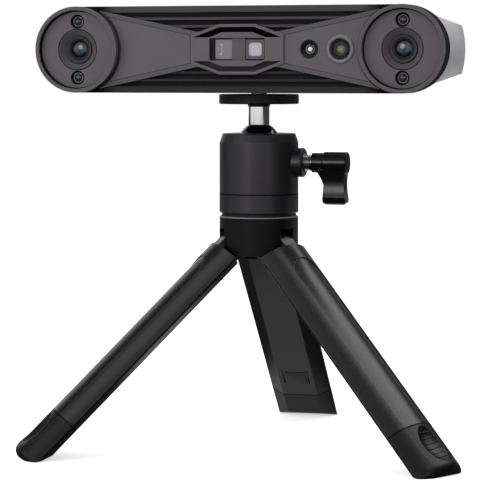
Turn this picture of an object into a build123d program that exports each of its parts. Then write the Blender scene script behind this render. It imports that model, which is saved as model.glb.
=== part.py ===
from build123d import *
import os
from math import cos, hypot, radians, sin, sqrt, tan

# Bar-shaped three-dimensional scanner on a ball head and a folding mini tripod.
# Millimetres, +Z up. The origin is on the tripod's axis, on the table.
# The scanner faces -Y, the ball head's lock knob points along +X, and one leg points to the rear.

# Fits
RUNNING_FIT = 0.05          # radial clearance of pins and shafts that turn
SLIDING_FIT = 0.1           # each side of pieces that slide or drop in
SEAT_GAP = 0.1              # between flat faces that meet when a joint is at its stop

# Tripod legs, measured with the legs closed to a round grip
LEG_AZIMUTHS = {"right": -27.6, "left": 212.4, "rear": 92.4}
LEG_OPEN_ANGLE = 45.6       # from upright to open
LEG_RADIUS = 18.4           # outer face of the closed legs
LEG_INNER_FLAT = 5.4        # inner face of a leg to the tripod's axis
LEG_SIDE_GAP = 0.6          # between two closed legs
LEG_EDGE_RADIUS = 1.3       # beside the round outer face
LEG_INNER_EDGE_RADIUS = 0.8
PIN_RADIUS_OUT = 11.0       # leg pin to the tripod's axis
PIN_HEIGHT = 97.2           # leg pin above the table with the legs open
PIN_DIAMETER = 3.0
PIN_END_COVER = 2.5         # pin's ends to the hub's outside
TONGUE_RADIUS = 6.2         # round top of the leg, about its pin
TONGUE_WIDTH = 8.0
SHOULDER_CLEARANCE = 1.1    # leg's shoulder to the hub as the leg swings

# Pull-out feet
FOOT_TRAVEL = 60.0
FOOT_LENGTH = 26.75         # seam to the toe's end
TOE_OUTWARD = 2.6           # front corner of the sole outside the line of the leg pin
TOE_RADIUS = 4.6            # of the round end that the three closed feet make
SOLE_FRONT_RADIUS = 2.4
SOLE_FLAT = 4.0             # stretch of the sole that stands on the table
SOLE_RISE = 11.0            # degrees that the rest of the sole rises to its heel
BAR_WIDTH = 13.0
BAR_THICKNESS = 6.4
BAR_RADIUS_OUT = 10.6       # bar's middle to the tripod's axis, legs closed
BAR_LAP = 30.0              # bar left inside the leg when the foot is out
BAR_SOCKET = 6.0            # bar's depth in the foot
BAR_END_ROOM = 2.0

# Grip recess, thumb dish and detent tab of each leg
GRIP_START = 16.0           # along the leg from its pin
GRIP_TO_TOE = 4.2
GRIP_WIDTH = 17.0
GRIP_DEPTH = 0.55
DISH_TO_TOE = 15.6
DISH_LENGTH = 21.4
DISH_WIDTH = 15.0
DISH_DEPTH = 3.6
TAB_WIDTH = 12.0
TAB_HEIGHT = 10.4
TAB_SLIT = 0.6
TAB_TO_SEAM = 9.8

# Hub
HUB_BELOW_PIN = 6.0
HUB_ABOVE_PIN = 12.1
HUB_STOP = 6.4              # leg pin to the bevel that stops the open leg
HUB_EDGE_RADIUS = 0.6
SLOT_SIDE_GAP = 0.2
SLOT_END_GAP = 0.4
STUD_DIAMETER = 6.35
STUD_IN_HUB = 9.0
STUD_IN_BASE = 6.0
WASHER_RADIUS = 17.4
WASHER_THICKNESS = 1.3

# Ball head
BASE_RADIUS = 18.45
BASE_HEIGHT = 9.0
BASE_CHAMFER = 0.6
SPIGOT_HEIGHT = 3.4
HOUSING_RADIUS = 18.4
HOUSING_TOP_RADIUS = 17.0
HOUSING_HEIGHT = 28.1
HOUSING_BEVEL = 4.2         # height of the slightly tapered top band
HOUSING_EDGE_RADIUS = 0.9
BALL_RADIUS = 10.2
BALL_SUNK = 5.1             # ball's middle below the housing's top
BALL_GAP = 0.3
SEAT_RADIUS = 4.5
SEAT_STEM_RADIUS = 3.0
SEAT_STEM_LENGTH = 4.0
STEM_RADIUS = 4.9
STEM_REACH = 18.7           # ball's middle to the top plate
PLATE_RADIUS = 18.6
PLATE_THICKNESS = 4.6
PLATE_EDGE_RADIUS = 0.7
SCREW_DIAMETER = 6.35
SCREW_COLLAR_DIAMETER = 7.2
SCREW_COLLAR_HEIGHT = 0.7
SCREW_IN_SCANNER = 6.5
SCREW_IN_PLATE = 3.0

# Ball lock
LOCK_BELOW_BALL = 8.4       # lock screw's axis below the ball's middle
LOCK_SCREW_RADIUS = 3.9
LOCK_PLUG_TIP = 5.6         # from the tripod's axis
LOCK_PLUG_LENGTH = 8.4
LOCK_BUSH_RADIUS = 4.9
LOCK_BUSH_START = 12.0
COLLAR_RADIUS = 6.8
COLLAR_START = 16.4
COLLAR_END = 22.1
COLLAR_EDGE_RADIUS = 0.9
KNOB_START = 26.0
KNOB_END = 42.8
KNOB_RADIUS = 5.1
KNOB_NECK_RADIUS = 4.6
KNOB_NECK_LENGTH = 5.3
KNOB_EDGE_RADIUS = 0.6
KNOB_BORE_RADIUS = 2.5
KNOB_BORE_DEPTH = 12.0
WING_DROP = 19.4            # bottom of the wing below the knob's axis
WING_FOOT_DROP = 15.8       # thickest part of the wing's foot
WING_WAIST_DROP = 10.2
WING_ROOT_DROP = 3.0
WING_ROOT_LAP = 2.6         # wing's root along the neck
WING_WAIST_INSET = 1.1
WING_CORNER = 1.8
WING_ROOT_THICKNESS = 8.0
WING_WAIST_THICKNESS = 6.2
WING_FOOT_THICKNESS = 7.8

# Scanner body, measured from the middle of its front, with depth counted backwards
CAN_DIAMETER = 39.6
CAN_SPACING = 153.4
CAN_RING_WALL = 1.7
CASING_DEPTH = 11.0
SCANNER_DEPTH = 50.0
SHELL_WALL = 1.8
REAR_HEIGHT = 21.4
REAR_END_INSET = 1.5        # rear face shorter than the front at each end
REAR_BULGE = 0.9
REAR_EDGE_RADIUS = 1.2
SOCKET_SETBACK = 34.0       # tripod socket behind the scanner's front
SOCKET_OFFSET = 1.5         # tripod socket to the right of the scanner's middle
BOSS_WIDTH = 28.0
BOSS_DEPTH = 20.0
BOSS_CORNER = 4.0
BOSS_HEIGHT = 10.0
SOCKET_RADIUS = 4.5
SOCKET_HEIGHT = 8.5

# Front ribs, counted from the top and bottom edges
RIB_FRONT = 4.6
EDGE_BAND = 2.9
RIB_WIDTH = 1.15
GROOVE_WIDTH = 2.35
GROOVE_FLOOR = 1.5
GROOVE_DEPTH = 1.8
GROOVES_PER_SIDE = 3
FRONT_WALL = 2.0

# Bow-tie face plate
FACE_FRONT = 3.6
PANEL_THICKNESS = 1.4
FACE_BASE = 1.4
WAIST_HALF_LENGTH = 19.8
WAIST_HALF_HEIGHT = 8.05
BOW_HALF_LENGTH = 66.0
BOW_HALF_HEIGHT = 17.8
BOW_RIM = 2.05
BOW_CAN_GAP = 0.25
PANEL_START = 22.2          # inner end of the panels from the middle
PANEL_SEAM = 0.25

# Six-sided projector bezel
BEZEL_PROUD = 0.5
HEX_HALF_LENGTH = 21.8
HEX_END_HALF_HEIGHT = 6.5
HEX_FLAT_HALF_LENGTH = 8.5
HEX_HALF_HEIGHT = 11.4
HEX_BAND = 1.35
BRIDGE_HALF_HEIGHT = 5.4
HUMP_HALF_LENGTH = 7.3
HUMP_HALF_HEIGHT = 7.7
HUMP_FOOT_HALF_LENGTH = 13.2
WINDOW_LENGTH = 26.2
WINDOW_HEIGHT = 10.2
WINDOW_CORNER = 1.0
WINDOW_PLATE_SETBACK = 0.6
WINDOW_PLATE_THICKNESS = 2.4
LASER_X = -6.5
LASER_WIDTH = 8.1
PROJECTOR_X = 8.3
PROJECTOR_WIDTH = 8.8
PROJECTOR_LENS_WIDTH = 6.2
PROJECTOR_LENS_CORNER = 1.6
PANE_HEIGHT = 9.0
PANE_THICKNESS = 1.0
PANE_SETBACK = 0.3
MODULE_LENGTH = 7.0

# Camera cans
DISC_FRONT = 2.6
DISC_THICKNESS = 1.5
CONE_RADIUS = 9.2
CONE_FLOOR_RADIUS = 6.3
CONE_DEPTH = 2.6
BARREL_RADIUS = 7.2
BARREL_RIM_RADIUS = 4.1
LENS_SETBACK = 0.8
LENS_THICKNESS = 1.6
LENS_CROWN = 0.5
LIGHT_OFFSET = 12.9         # fill lights above and below each camera
LIGHT_WELL_RADIUS = 3.25
LIGHT_WELL_FLOOR_RADIUS = 2.5
LIGHT_DOME_RADIUS = 1.9
LIGHT_DOME_HEIGHT = 1.0
LIGHT_BODY_RADIUS = 2.4
LIGHT_BODY_LENGTH = 3.6

# Flash light and colour camera in the right panel
FLASH_X = 33.7
FLASH_CUP_RADIUS = 4.3
FLASH_FLOOR_RADIUS = 2.3
FLASH_CUP_DEPTH = 2.6
FLASH_LED_RADIUS = 1.2
COLOUR_X = 48.0
COLOUR_RING_RADIUS = 6.7
COLOUR_RING_BORE = 4.7
COLOUR_RING_PROUD = 0.7
COLOUR_RING_DEPTH = 3.4
COLOUR_BARREL_RADIUS = 3.6
COLOUR_LENS_RADIUS = 2.0
COLOUR_BARREL_SETBACK = 1.6

# Boards and rear fittings
FRAME_END = 12.3            # frame's length beyond the middle of each can
FRAME_HEIGHT = 22.0
FRAME_THICKNESS = 3.0
BOARD_THICKNESS = 1.6
CAMERA_BOARD_SIZE = 18.0
MAIN_BOARD_TO_POST = 2.15    # board's ends to the posts of the casing screws
MAIN_BOARD_HEIGHT = 14.0
MAIN_BOARD_TO_REAR = 8.0
BOARD_POST_RADIUS = 2.2
BOARD_POST_X = 50.0
BOARD_POST_Z = 4.5
CASING_SCREW_X = 61.0
CASING_SCREW_Z = 5.0
CASING_SCREW_RADIUS = 1.25
CASING_SCREW_HEAD_RADIUS = 2.3
CASING_SCREW_HEAD_HEIGHT = 1.6
SCREW_POST_WALL = 1.6
USB_X = -24.0
USB_WIDTH = 8.94
USB_HEIGHT = 3.26
USB_WALL = 0.35
BUTTON_RADIUS = 4.6
BUTTON_FLANGE = 1.0
BUTTON_PROUD = 0.8
BUTTON_TRAVEL = 0.5
LIGHT_PIPE_X = 11.0
LIGHT_PIPE_RADIUS = 1.0

# Worked out from the sizes above
hub_bottom = PIN_HEIGHT - HUB_BELOW_PIN
hub_top = PIN_HEIGHT + HUB_ABOVE_PIN
base_bottom = hub_top + WASHER_THICKNESS
base_top = base_bottom + BASE_HEIGHT
housing_top = base_top + HOUSING_HEIGHT
ball_z = housing_top - BALL_SUNK
plate_bottom = ball_z + STEM_REACH
plate_top = plate_bottom + PLATE_THICKNESS
scanner_bottom = plate_top + SCREW_COLLAR_HEIGHT
scanner_z = scanner_bottom + CAN_DIAMETER / 2
lock_z = ball_z - LOCK_BELOW_BALL
ball_bore = BALL_RADIUS + BALL_GAP
open_angle = radians(LEG_OPEN_ANGLE)
toe_length = PIN_HEIGHT / cos(open_angle) + TOE_OUTWARD * tan(open_angle)
leg_length = toe_length - FOOT_LENGTH
grip_end = toe_length - GRIP_TO_TOE
slot_top = PIN_HEIGHT + TONGUE_RADIUS + SLOT_END_GAP
slot_inner = PIN_RADIUS_OUT - TONGUE_RADIUS - SLOT_END_GAP
stop_corner = (HUB_STOP - HUB_BELOW_PIN * cos(open_angle)) / sin(open_angle)
shoulder = hypot(stop_corner, HUB_BELOW_PIN) + SHOULDER_CLEARANCE
face_back = FACE_FRONT + PANEL_THICKNESS + FACE_BASE
cavity_front = RIB_FRONT + GROOVE_DEPTH + FRONT_WALL
frame_back = cavity_front + FRAME_THICKNESS
frame_length = CAN_SPACING + 2 * FRAME_END
disc_back = DISC_FRONT + DISC_THICKNESS
barrel_front = DISC_FRONT + CONE_DEPTH
board_front = SCANNER_DEPTH - MAIN_BOARD_TO_REAR
board_back = board_front + BOARD_THICKNESS
bezel_front = FACE_FRONT - BEZEL_PROUD
panel_back = FACE_FRONT + PANEL_THICKNESS
window_front = bezel_front + WINDOW_PLATE_SETBACK
window_back = window_front + WINDOW_PLATE_THICKNESS
FAR = 400.0                 # longer than any cut needs to be

os.makedirs("parts", exist_ok=True)


def keep(name, *solids):
    """Write one node, made of one or more separate solids."""
    node = solids[0] if len(solids) == 1 else Compound(children=list(solids))
    export_step(node, f"parts/{name}.step")


def level(z):
    """Horizontal plane at height z."""
    return Plane.XY.offset(z)


def upright_cylinder(radius, low, high):
    return extrude(level(low) * Circle(radius), high - low)


def turned(points):
    """Solid of revolution about the tripod's axis from (radius, height) points."""
    outline = make_face(Polyline(*points, close=True))
    return revolve(Plane.XZ * outline, Axis.Z)


def along_x(radius, start, end, z):
    """Cylinder along +X at height z, on the tripod's axis."""
    across = Plane(origin=(start, 0, z), x_dir=(0, 1, 0), z_dir=(1, 0, 0))
    return extrude(across * Circle(radius), end - start)


# Tripod legs: every leg is drawn closed, with its outer face to +X, then opened and turned to its place


def open_leg(solid, azimuth):
    """Swing a closed leg out about its pin, and turn it to its azimuth."""
    to_pin = Pos(PIN_RADIUS_OUT, 0, PIN_HEIGHT)
    return Rot(0, 0, azimuth) * to_pin * Rot(0, -LEG_OPEN_ANGLE, 0) * to_pin.inverse() * solid


def down_leg(length):
    """Height of a point that far along the closed leg from its pin."""
    return PIN_HEIGHT - length


def side_half_width(radius):
    """Half width of the closed leg's wedge at a distance from the tripod's axis."""
    half_sector = radians(180 / len(LEG_AZIMUTHS))
    return (radius * sin(half_sector) - LEG_SIDE_GAP / 2) / cos(half_sector)


def leg_section():
    """A third of the round grip, flat inside, with rounded edges."""
    inner = side_half_width(LEG_INNER_FLAT)
    beyond = LEG_RADIUS * 1.2
    outer = side_half_width(beyond)
    corners = ((LEG_INNER_FLAT, -inner), (beyond, -outer), (beyond, outer), (LEG_INNER_FLAT, inner))
    section = make_face(Polyline(*corners, close=True)) & Circle(LEG_RADIUS)
    section = fillet(section.vertices().group_by(Axis.X)[0], LEG_INNER_EDGE_RADIUS)
    return fillet(section.vertices().group_by(Axis.X)[-1], LEG_EDGE_RADIUS)


def leg_length_of_section(start, end):
    return extrude(level(down_leg(end)) * leg_section(), end - start)


def facing_out(along):
    """Plane square to the leg's outer face, at a distance along the leg."""
    return Plane(origin=(0, 0, down_leg(along)), x_dir=(0, 1, 0), z_dir=(1, 0, 0))


def grip_recess():
    """Shallow recess of the outer face, with round ends."""
    middle = (GRIP_START + grip_end) / 2
    slot = SlotOverall(grip_end - GRIP_START, GRIP_WIDTH, rotation=90)
    through = extrude(facing_out(middle) * slot, LEG_RADIUS * 2)
    return through - upright_cylinder(LEG_RADIUS - GRIP_DEPTH, down_leg(toe_length), PIN_HEIGHT)


def bar_box(clearance, start, end):
    """The extension bar's section, widened by a clearance, between two distances along the leg."""
    section = Rectangle(BAR_THICKNESS + 2 * clearance, BAR_WIDTH + 2 * clearance)
    return extrude(Pos(BAR_RADIUS_OUT, 0, down_leg(end)) * section, end - start)


bar_start = leg_length - FOOT_TRAVEL - BAR_LAP


def leg_shell():
    body = leg_length_of_section(shoulder, leg_length)
    disc = Pos(PIN_RADIUS_OUT, PIN_HEIGHT) * Circle(TONGUE_RADIUS)
    neck_low = down_leg(shoulder + LEG_EDGE_RADIUS)
    neck = Polyline(
        (LEG_INNER_FLAT, neck_low),
        (PIN_RADIUS_OUT + TONGUE_RADIUS, neck_low),
        (PIN_RADIUS_OUT + TONGUE_RADIUS, PIN_HEIGHT),
        (LEG_INNER_FLAT, PIN_HEIGHT),
        close=True,
    )
    tongue = extrude(Plane.XZ * (disc + make_face(neck)), TONGUE_WIDTH / 2, both=True)
    pin_hole = Cylinder(PIN_DIAMETER / 2 + RUNNING_FIT, 2 * TONGUE_WIDTH, rotation=(90, 0, 0))
    body = body + tongue - Pos(PIN_RADIUS_OUT, 0, PIN_HEIGHT) * pin_hole
    body -= bar_box(SLIDING_FIT, bar_start - BAR_END_ROOM, leg_length)
    tab_middle = leg_length - TAB_TO_SEAM - TAB_HEIGHT / 2
    around = Rectangle(TAB_WIDTH + 2 * TAB_SLIT, TAB_HEIGHT + TAB_SLIT, align=(Align.CENTER, Align.MAX))
    tab = Rectangle(TAB_WIDTH, TAB_HEIGHT, align=(Align.CENTER, Align.MAX))
    slit = extrude(facing_out(tab_middle) * Pos(0, TAB_HEIGHT / 2) * (around - tab), BAR_RADIUS_OUT)
    return body - grip_recess() - slit


def sole_profile():
    """Side outline that cuts the foot: square end, rounded front, flat on the table and rising heel."""
    inner = LEG_INNER_FLAT - PIN_RADIUS_OUT - LEG_INNER_EDGE_RADIUS
    outer = LEG_RADIUS - PIN_RADIUS_OUT + LEG_INNER_EDGE_RADIUS
    flat_outward = TOE_OUTWARD - SOLE_FLAT * cos(open_angle)
    flat_along = toe_length - SOLE_FLAT * sin(open_angle)
    heel = flat_along - (flat_outward - inner) * tan(radians(LEG_OPEN_ANGLE + SOLE_RISE))
    points = (
        (inner, leg_length),
        (outer, leg_length),
        (outer, toe_length),
        (TOE_OUTWARD, toe_length),
        (flat_outward, flat_along),
        (inner, heel),
    )
    outline = [(PIN_RADIUS_OUT + outward, down_leg(along)) for outward, along in points]
    profile = make_face(Polyline(*outline, close=True))
    front = profile.vertices().sort_by_distance(Vector(*outline[3]))[0]
    return fillet(front, SOLE_FRONT_RADIUS)


def round_end():
    """Lower end of the round grip that the three closed feet make."""
    end = upright_cylinder(LEG_RADIUS, down_leg(toe_length), down_leg(leg_length))
    return fillet(end.edges().group_by(Axis.Z)[0], TOE_RADIUS)


def thumb_dish():
    """Boat-shaped hollow: an arc turned about a line parallel to the leg, just outside its face."""
    half_length = DISH_LENGTH / 2
    spread = (DISH_WIDTH / 2) ** 2 / DISH_DEPTH
    swell = (spread + DISH_DEPTH) / 2
    outside = (spread - DISH_DEPTH) / 2
    arc_radius = (half_length**2 + DISH_DEPTH**2) / (2 * DISH_DEPTH)
    tip = sqrt(arc_radius**2 - (arc_radius - swell) ** 2)
    arc = ThreePointArc((0, -tip), (swell, 0), (0, tip))
    profile = make_face([arc, Line((0, tip), (0, -tip))])
    spindle = revolve(Plane.XZ * profile, Axis.Z)
    return Pos(LEG_RADIUS + outside, 0, down_leg(toe_length - DISH_TO_TOE)) * spindle


def foot():
    block = leg_length_of_section(leg_length + SEAT_GAP, toe_length) & round_end()
    block &= extrude(Plane.XZ * sole_profile(), LEG_RADIUS * 2, both=True)
    block -= bar_box(SEAT_GAP / 2, leg_length, leg_length + BAR_SOCKET)
    return block - grip_recess() - thumb_dish()


shell = leg_shell()
extension_bar = bar_box(0, bar_start, leg_length + BAR_SOCKET)
closed_foot = foot()
for side, azimuth in LEG_AZIMUTHS.items():
    keep(f"{side}_leg_shell", open_leg(shell, azimuth))
    keep(f"{side}_extension_bar", open_leg(extension_bar, azimuth))
    keep(f"{side}_foot", open_leg(closed_foot, azimuth))

# Hub, with a slot for each leg's tongue and a bevel that stops it at its open angle
pin_half_length = sqrt(LEG_RADIUS**2 - PIN_RADIUS_OUT**2) - PIN_END_COVER
leg_pin = Cylinder(PIN_DIAMETER / 2, 2 * pin_half_length, rotation=(90, 0, 0))
leg_pin = Pos(PIN_RADIUS_OUT, 0, PIN_HEIGHT) * leg_pin
slot_width = TONGUE_WIDTH + 2 * SLOT_SIDE_GAP
slot_low = hub_bottom - HUB_BELOW_PIN
tongue_slot = extrude(
    Pos(slot_inner, 0, slot_low) * Rectangle(LEG_RADIUS * 2, slot_width, align=(Align.MIN, Align.CENTER)),
    slot_top - slot_low,
)
stop_bevel = extrude(level(down_leg(HUB_STOP)) * Rectangle(FAR, FAR), -leg_length)
hub = upright_cylinder(LEG_RADIUS, hub_bottom, hub_top)
hub = fillet(hub.edges().group_by(Axis.Z)[-1], HUB_EDGE_RADIUS)
leg_pins = []
for azimuth in LEG_AZIMUTHS.values():
    hub -= open_leg(stop_bevel, azimuth)
    hub -= Rot(0, 0, azimuth) * tongue_slot
    hub -= Rot(0, 0, azimuth) * leg_pin
    leg_pins.append(Rot(0, 0, azimuth) * leg_pin)
hub -= upright_cylinder(STUD_DIAMETER / 2 + RUNNING_FIT, hub_top - STUD_IN_HUB, hub_top)
keep("hub", hub)
keep("leg_pins", *leg_pins)
keep("hub_stud", upright_cylinder(STUD_DIAMETER / 2, hub_top - STUD_IN_HUB, base_bottom + STUD_IN_BASE))
stud_hole = STUD_DIAMETER / 2 + RUNNING_FIT
washer = upright_cylinder(WASHER_RADIUS, hub_top, base_bottom)
keep("hub_washer", washer - upright_cylinder(stud_hole, hub_top, base_bottom))

# Ball head: base, housing, seat, ball and stem
spigot_radius = ball_bore - SLIDING_FIT
base = turned((
    (0, base_bottom),
    (BASE_RADIUS - BASE_CHAMFER, base_bottom),
    (BASE_RADIUS, base_bottom + BASE_CHAMFER),
    (BASE_RADIUS, base_top),
    (spigot_radius, base_top),
    (spigot_radius, base_top + SPIGOT_HEIGHT),
    (0, base_top + SPIGOT_HEIGHT),
))
base -= upright_cylinder(stud_hole, base_bottom, base_bottom + STUD_IN_BASE)
seat_low = base_top + SPIGOT_HEIGHT
seat_bore = SEAT_STEM_RADIUS + RUNNING_FIT
base -= upright_cylinder(seat_bore, seat_low - SEAT_STEM_LENGTH - SEAT_GAP, seat_low)
keep("head_base", base)

ball_centre = Pos(0, 0, ball_z)
housing = turned((
    (0, base_top),
    (HOUSING_RADIUS, base_top),
    (HOUSING_RADIUS, housing_top - HOUSING_BEVEL),
    (HOUSING_TOP_RADIUS, housing_top),
    (0, housing_top),
))
housing = fillet(housing.edges().group_by(Axis.Z)[-1], HOUSING_EDGE_RADIUS)
housing -= ball_centre * Sphere(ball_bore)
housing -= upright_cylinder(ball_bore, base_top, ball_z)
housing -= along_x(LOCK_SCREW_RADIUS + RUNNING_FIT, 0, LOCK_BUSH_START, lock_z)
housing -= along_x(LOCK_BUSH_RADIUS + RUNNING_FIT, LOCK_BUSH_START, HOUSING_RADIUS * 2, lock_z)
housing -= along_x(COLLAR_RADIUS + SEAT_GAP, COLLAR_START, HOUSING_RADIUS * 2, lock_z)
keep("head_housing", housing)

seat = upright_cylinder(SEAT_RADIUS, seat_low, ball_z)
seat += upright_cylinder(SEAT_STEM_RADIUS, seat_low - SEAT_STEM_LENGTH, seat_low)
keep("ball_seat", seat - ball_centre * Sphere(BALL_RADIUS + BALL_GAP))
ball_flat = ball_z + sqrt(BALL_RADIUS**2 - STEM_RADIUS**2)
ball_cap = upright_cylinder(BALL_RADIUS, ball_flat, ball_z + BALL_RADIUS)
keep("ball", ball_centre * Sphere(BALL_RADIUS) - ball_cap)
keep("ball_stem", upright_cylinder(STEM_RADIUS, ball_flat + RUNNING_FIT, plate_bottom))

plate = upright_cylinder(PLATE_RADIUS, plate_bottom, plate_top)
plate = fillet(plate.edges().filter_by(GeomType.CIRCLE), PLATE_EDGE_RADIUS)
screw_hole = upright_cylinder(SCREW_DIAMETER / 2 + RUNNING_FIT, plate_top - SCREW_IN_PLATE, plate_top)
keep("top_plate", plate - screw_hole)
screw = upright_cylinder(SCREW_DIAMETER / 2, plate_top - SCREW_IN_PLATE, scanner_bottom + SCREW_IN_SCANNER)
screw += upright_cylinder(SCREW_COLLAR_DIAMETER / 2, plate_top, scanner_bottom)
keep("mount_screw", screw)

# Ball lock: a winged knob turns a screw that pushes a hollow-ended plug against the ball
plug_end = LOCK_PLUG_TIP + LOCK_PLUG_LENGTH
plug = along_x(LOCK_SCREW_RADIUS, LOCK_PLUG_TIP, plug_end, lock_z)
keep("lock_plug", plug - ball_centre * Sphere(BALL_RADIUS + BALL_GAP))
lock_screw = along_x(LOCK_SCREW_RADIUS, plug_end + RUNNING_FIT, KNOB_START, lock_z)
lock_screw += along_x(KNOB_BORE_RADIUS, KNOB_START, KNOB_START + KNOB_BORE_DEPTH, lock_z)
keep("lock_screw", lock_screw)
screw_bore = along_x(LOCK_SCREW_RADIUS + RUNNING_FIT, 0, FAR, lock_z)
bush = along_x(COLLAR_RADIUS, COLLAR_START, COLLAR_END, lock_z)
bush = fillet(bush.edges().group_by(Axis.X)[-1], COLLAR_EDGE_RADIUS)
bush += along_x(LOCK_BUSH_RADIUS, LOCK_BUSH_START, COLLAR_END + SEAT_GAP, lock_z)
keep("lock_bush", bush - screw_bore)


def lock_knob():
    """Round barrel with a wing that hangs from it, waisted in front view and in side view."""
    wing_start = KNOB_START + KNOB_NECK_LENGTH
    barrel = along_x(KNOB_RADIUS, wing_start, KNOB_END, lock_z)
    barrel = fillet(barrel.edges().filter_by(GeomType.CIRCLE), KNOB_EDGE_RADIUS)
    barrel += along_x(KNOB_NECK_RADIUS, KNOB_START, wing_start + KNOB_EDGE_RADIUS, lock_z)
    root = (WING_ROOT_THICKNESS / 2, -WING_ROOT_DROP)
    waist = (WING_WAIST_THICKNESS / 2, -WING_WAIST_DROP)
    foot_side = (WING_FOOT_THICKNESS / 2, -WING_FOOT_DROP)
    side_view = [
        Line((-root[0], root[1]), root),
        ThreePointArc(root, waist, foot_side),
        ThreePointArc(foot_side, (0, -WING_DROP), (-foot_side[0], foot_side[1])),
        ThreePointArc((-foot_side[0], foot_side[1]), (-waist[0], waist[1]), (-root[0], root[1])),
    ]
    from_left = Plane(origin=(KNOB_START, 0, lock_z), x_dir=(0, 1, 0), z_dir=(1, 0, 0))
    wing = extrude(from_left * make_face(side_view), KNOB_END - KNOB_START)
    inner_waist = wing_start + WING_WAIST_INSET / 2
    outer_waist = KNOB_END - WING_WAIST_INSET
    middle_drop = (KNOB_NECK_RADIUS + WING_WAIST_DROP) / 2
    inner_root = (wing_start - WING_ROOT_LAP, -KNOB_NECK_RADIUS + KNOB_EDGE_RADIUS)
    inner_middle = (wing_start - KNOB_EDGE_RADIUS, -middle_drop)
    outer_top = (KNOB_END, -KNOB_EDGE_RADIUS)
    front_view = [
        ThreePointArc(inner_root, inner_middle, (inner_waist, -WING_WAIST_DROP)),
        Line((inner_waist, -WING_WAIST_DROP), (wing_start, -WING_DROP)),
        Line((wing_start, -WING_DROP), (KNOB_END, -WING_DROP)),
        ThreePointArc((KNOB_END, -WING_DROP), (outer_waist, -WING_WAIST_DROP), outer_top),
        Line(outer_top, (inner_root[0], -KNOB_EDGE_RADIUS)),
        Line((inner_root[0], -KNOB_EDGE_RADIUS), inner_root),
    ]
    outline = make_face(front_view)
    outline = fillet(outline.vertices().group_by(Axis.Y)[0], WING_CORNER)
    wing &= Pos(0, 0, lock_z) * extrude(Plane.XZ * outline, WING_ROOT_THICKNESS, both=True)
    bore = along_x(KNOB_BORE_RADIUS, KNOB_START, KNOB_START + KNOB_BORE_DEPTH, lock_z)
    return barrel + wing - bore


keep("lock_knob", lock_knob())

# Scanner: outlines are drawn in front view, with depth counted backwards from the front


def slab(outline, front, back):
    """Front-view outline made solid between two depths."""
    plane = Plane(origin=(0, back, 0), x_dir=(1, 0, 0), z_dir=(0, -1, 0))
    return extrude(plane * outline, back - front)


def disc_at(x, z, radius, front, back):
    return slab(Pos(x, z) * Circle(radius), front, back)


def ring_profile(x, z, points):
    """Solid turned about a front-to-back line at (x, z), from (radius, depth) points."""
    outline = make_face(Polyline(*points, close=True))
    return Pos(x, 0, z) * revolve(Plane.XY * outline, Axis.Y)


def scanner_place(solid):
    return Pos(-SOCKET_OFFSET, -SOCKET_SETBACK, scanner_z) * solid


def keep_in_scanner(name, *solids):
    keep(name, *[scanner_place(solid) for solid in solids])


def mirrored_polygon(quarter):
    """Face from the corners of its upper right quarter, mirrored left and down."""
    right = list(quarter) + [(x, -z) for x, z in reversed(quarter)]
    left = [(-x, -z) for x, z in quarter] + [(-x, z) for x, z in reversed(quarter)]
    return make_face(Polyline(*(right + left), close=True))


CAN_X = CAN_SPACING / 2
CAN_RADIUS = CAN_DIAMETER / 2
CAN_SIDES = {"left": -CAN_X, "right": CAN_X}
can_circles = [Pos(x, 0) * Circle(CAN_RADIUS + BOW_CAN_GAP) for x in CAN_SIDES.values()]
bow_slope = (BOW_HALF_HEIGHT - WAIST_HALF_HEIGHT) / (BOW_HALF_LENGTH - WAIST_HALF_LENGTH)


def bow_height(x):
    """Half height of the bow-tie plate at a distance from the middle."""
    return WAIST_HALF_HEIGHT + bow_slope * (x - WAIST_HALF_LENGTH)


bow_tie = mirrored_polygon([(WAIST_HALF_LENGTH, WAIST_HALF_HEIGHT), (BOW_HALF_LENGTH, BOW_HALF_HEIGHT)])
hexagon_corners = [(HEX_FLAT_HALF_LENGTH, HEX_HALF_HEIGHT), (HEX_HALF_LENGTH, HEX_END_HALF_HEIGHT)]
hexagon = mirrored_polygon(hexagon_corners)
face_outline = bow_tie + hexagon
for circle in can_circles:
    face_outline -= circle


def panel_outline(sign):
    """One panel of the bow-tie, inside its rim and clear of the can."""
    inner = bow_height(PANEL_START) - BOW_RIM
    outer = bow_height(BOW_HALF_LENGTH) - BOW_RIM
    corners = (
        (sign * PANEL_START, inner),
        (sign * BOW_HALF_LENGTH, outer),
        (sign * BOW_HALF_LENGTH, -outer),
        (sign * PANEL_START, -inner),
    )
    can = Pos(sign * CAN_X, 0) * Circle(CAN_RADIUS + BOW_CAN_GAP)
    return make_face(Polyline(*corners, close=True)) - can


window = RectangleRounded(WINDOW_LENGTH, WINDOW_HEIGHT, WINDOW_CORNER)
module_opening = Rectangle(WINDOW_LENGTH, PANE_HEIGHT)
light_places = [(x, z) for x in CAN_SIDES.values() for z in (LIGHT_OFFSET, -LIGHT_OFFSET)]
screw_columns = (-CASING_SCREW_X, CASING_SCREW_X)
screw_places = [(x, z) for x in screw_columns for z in (-CASING_SCREW_Z, CASING_SCREW_Z)]


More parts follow.
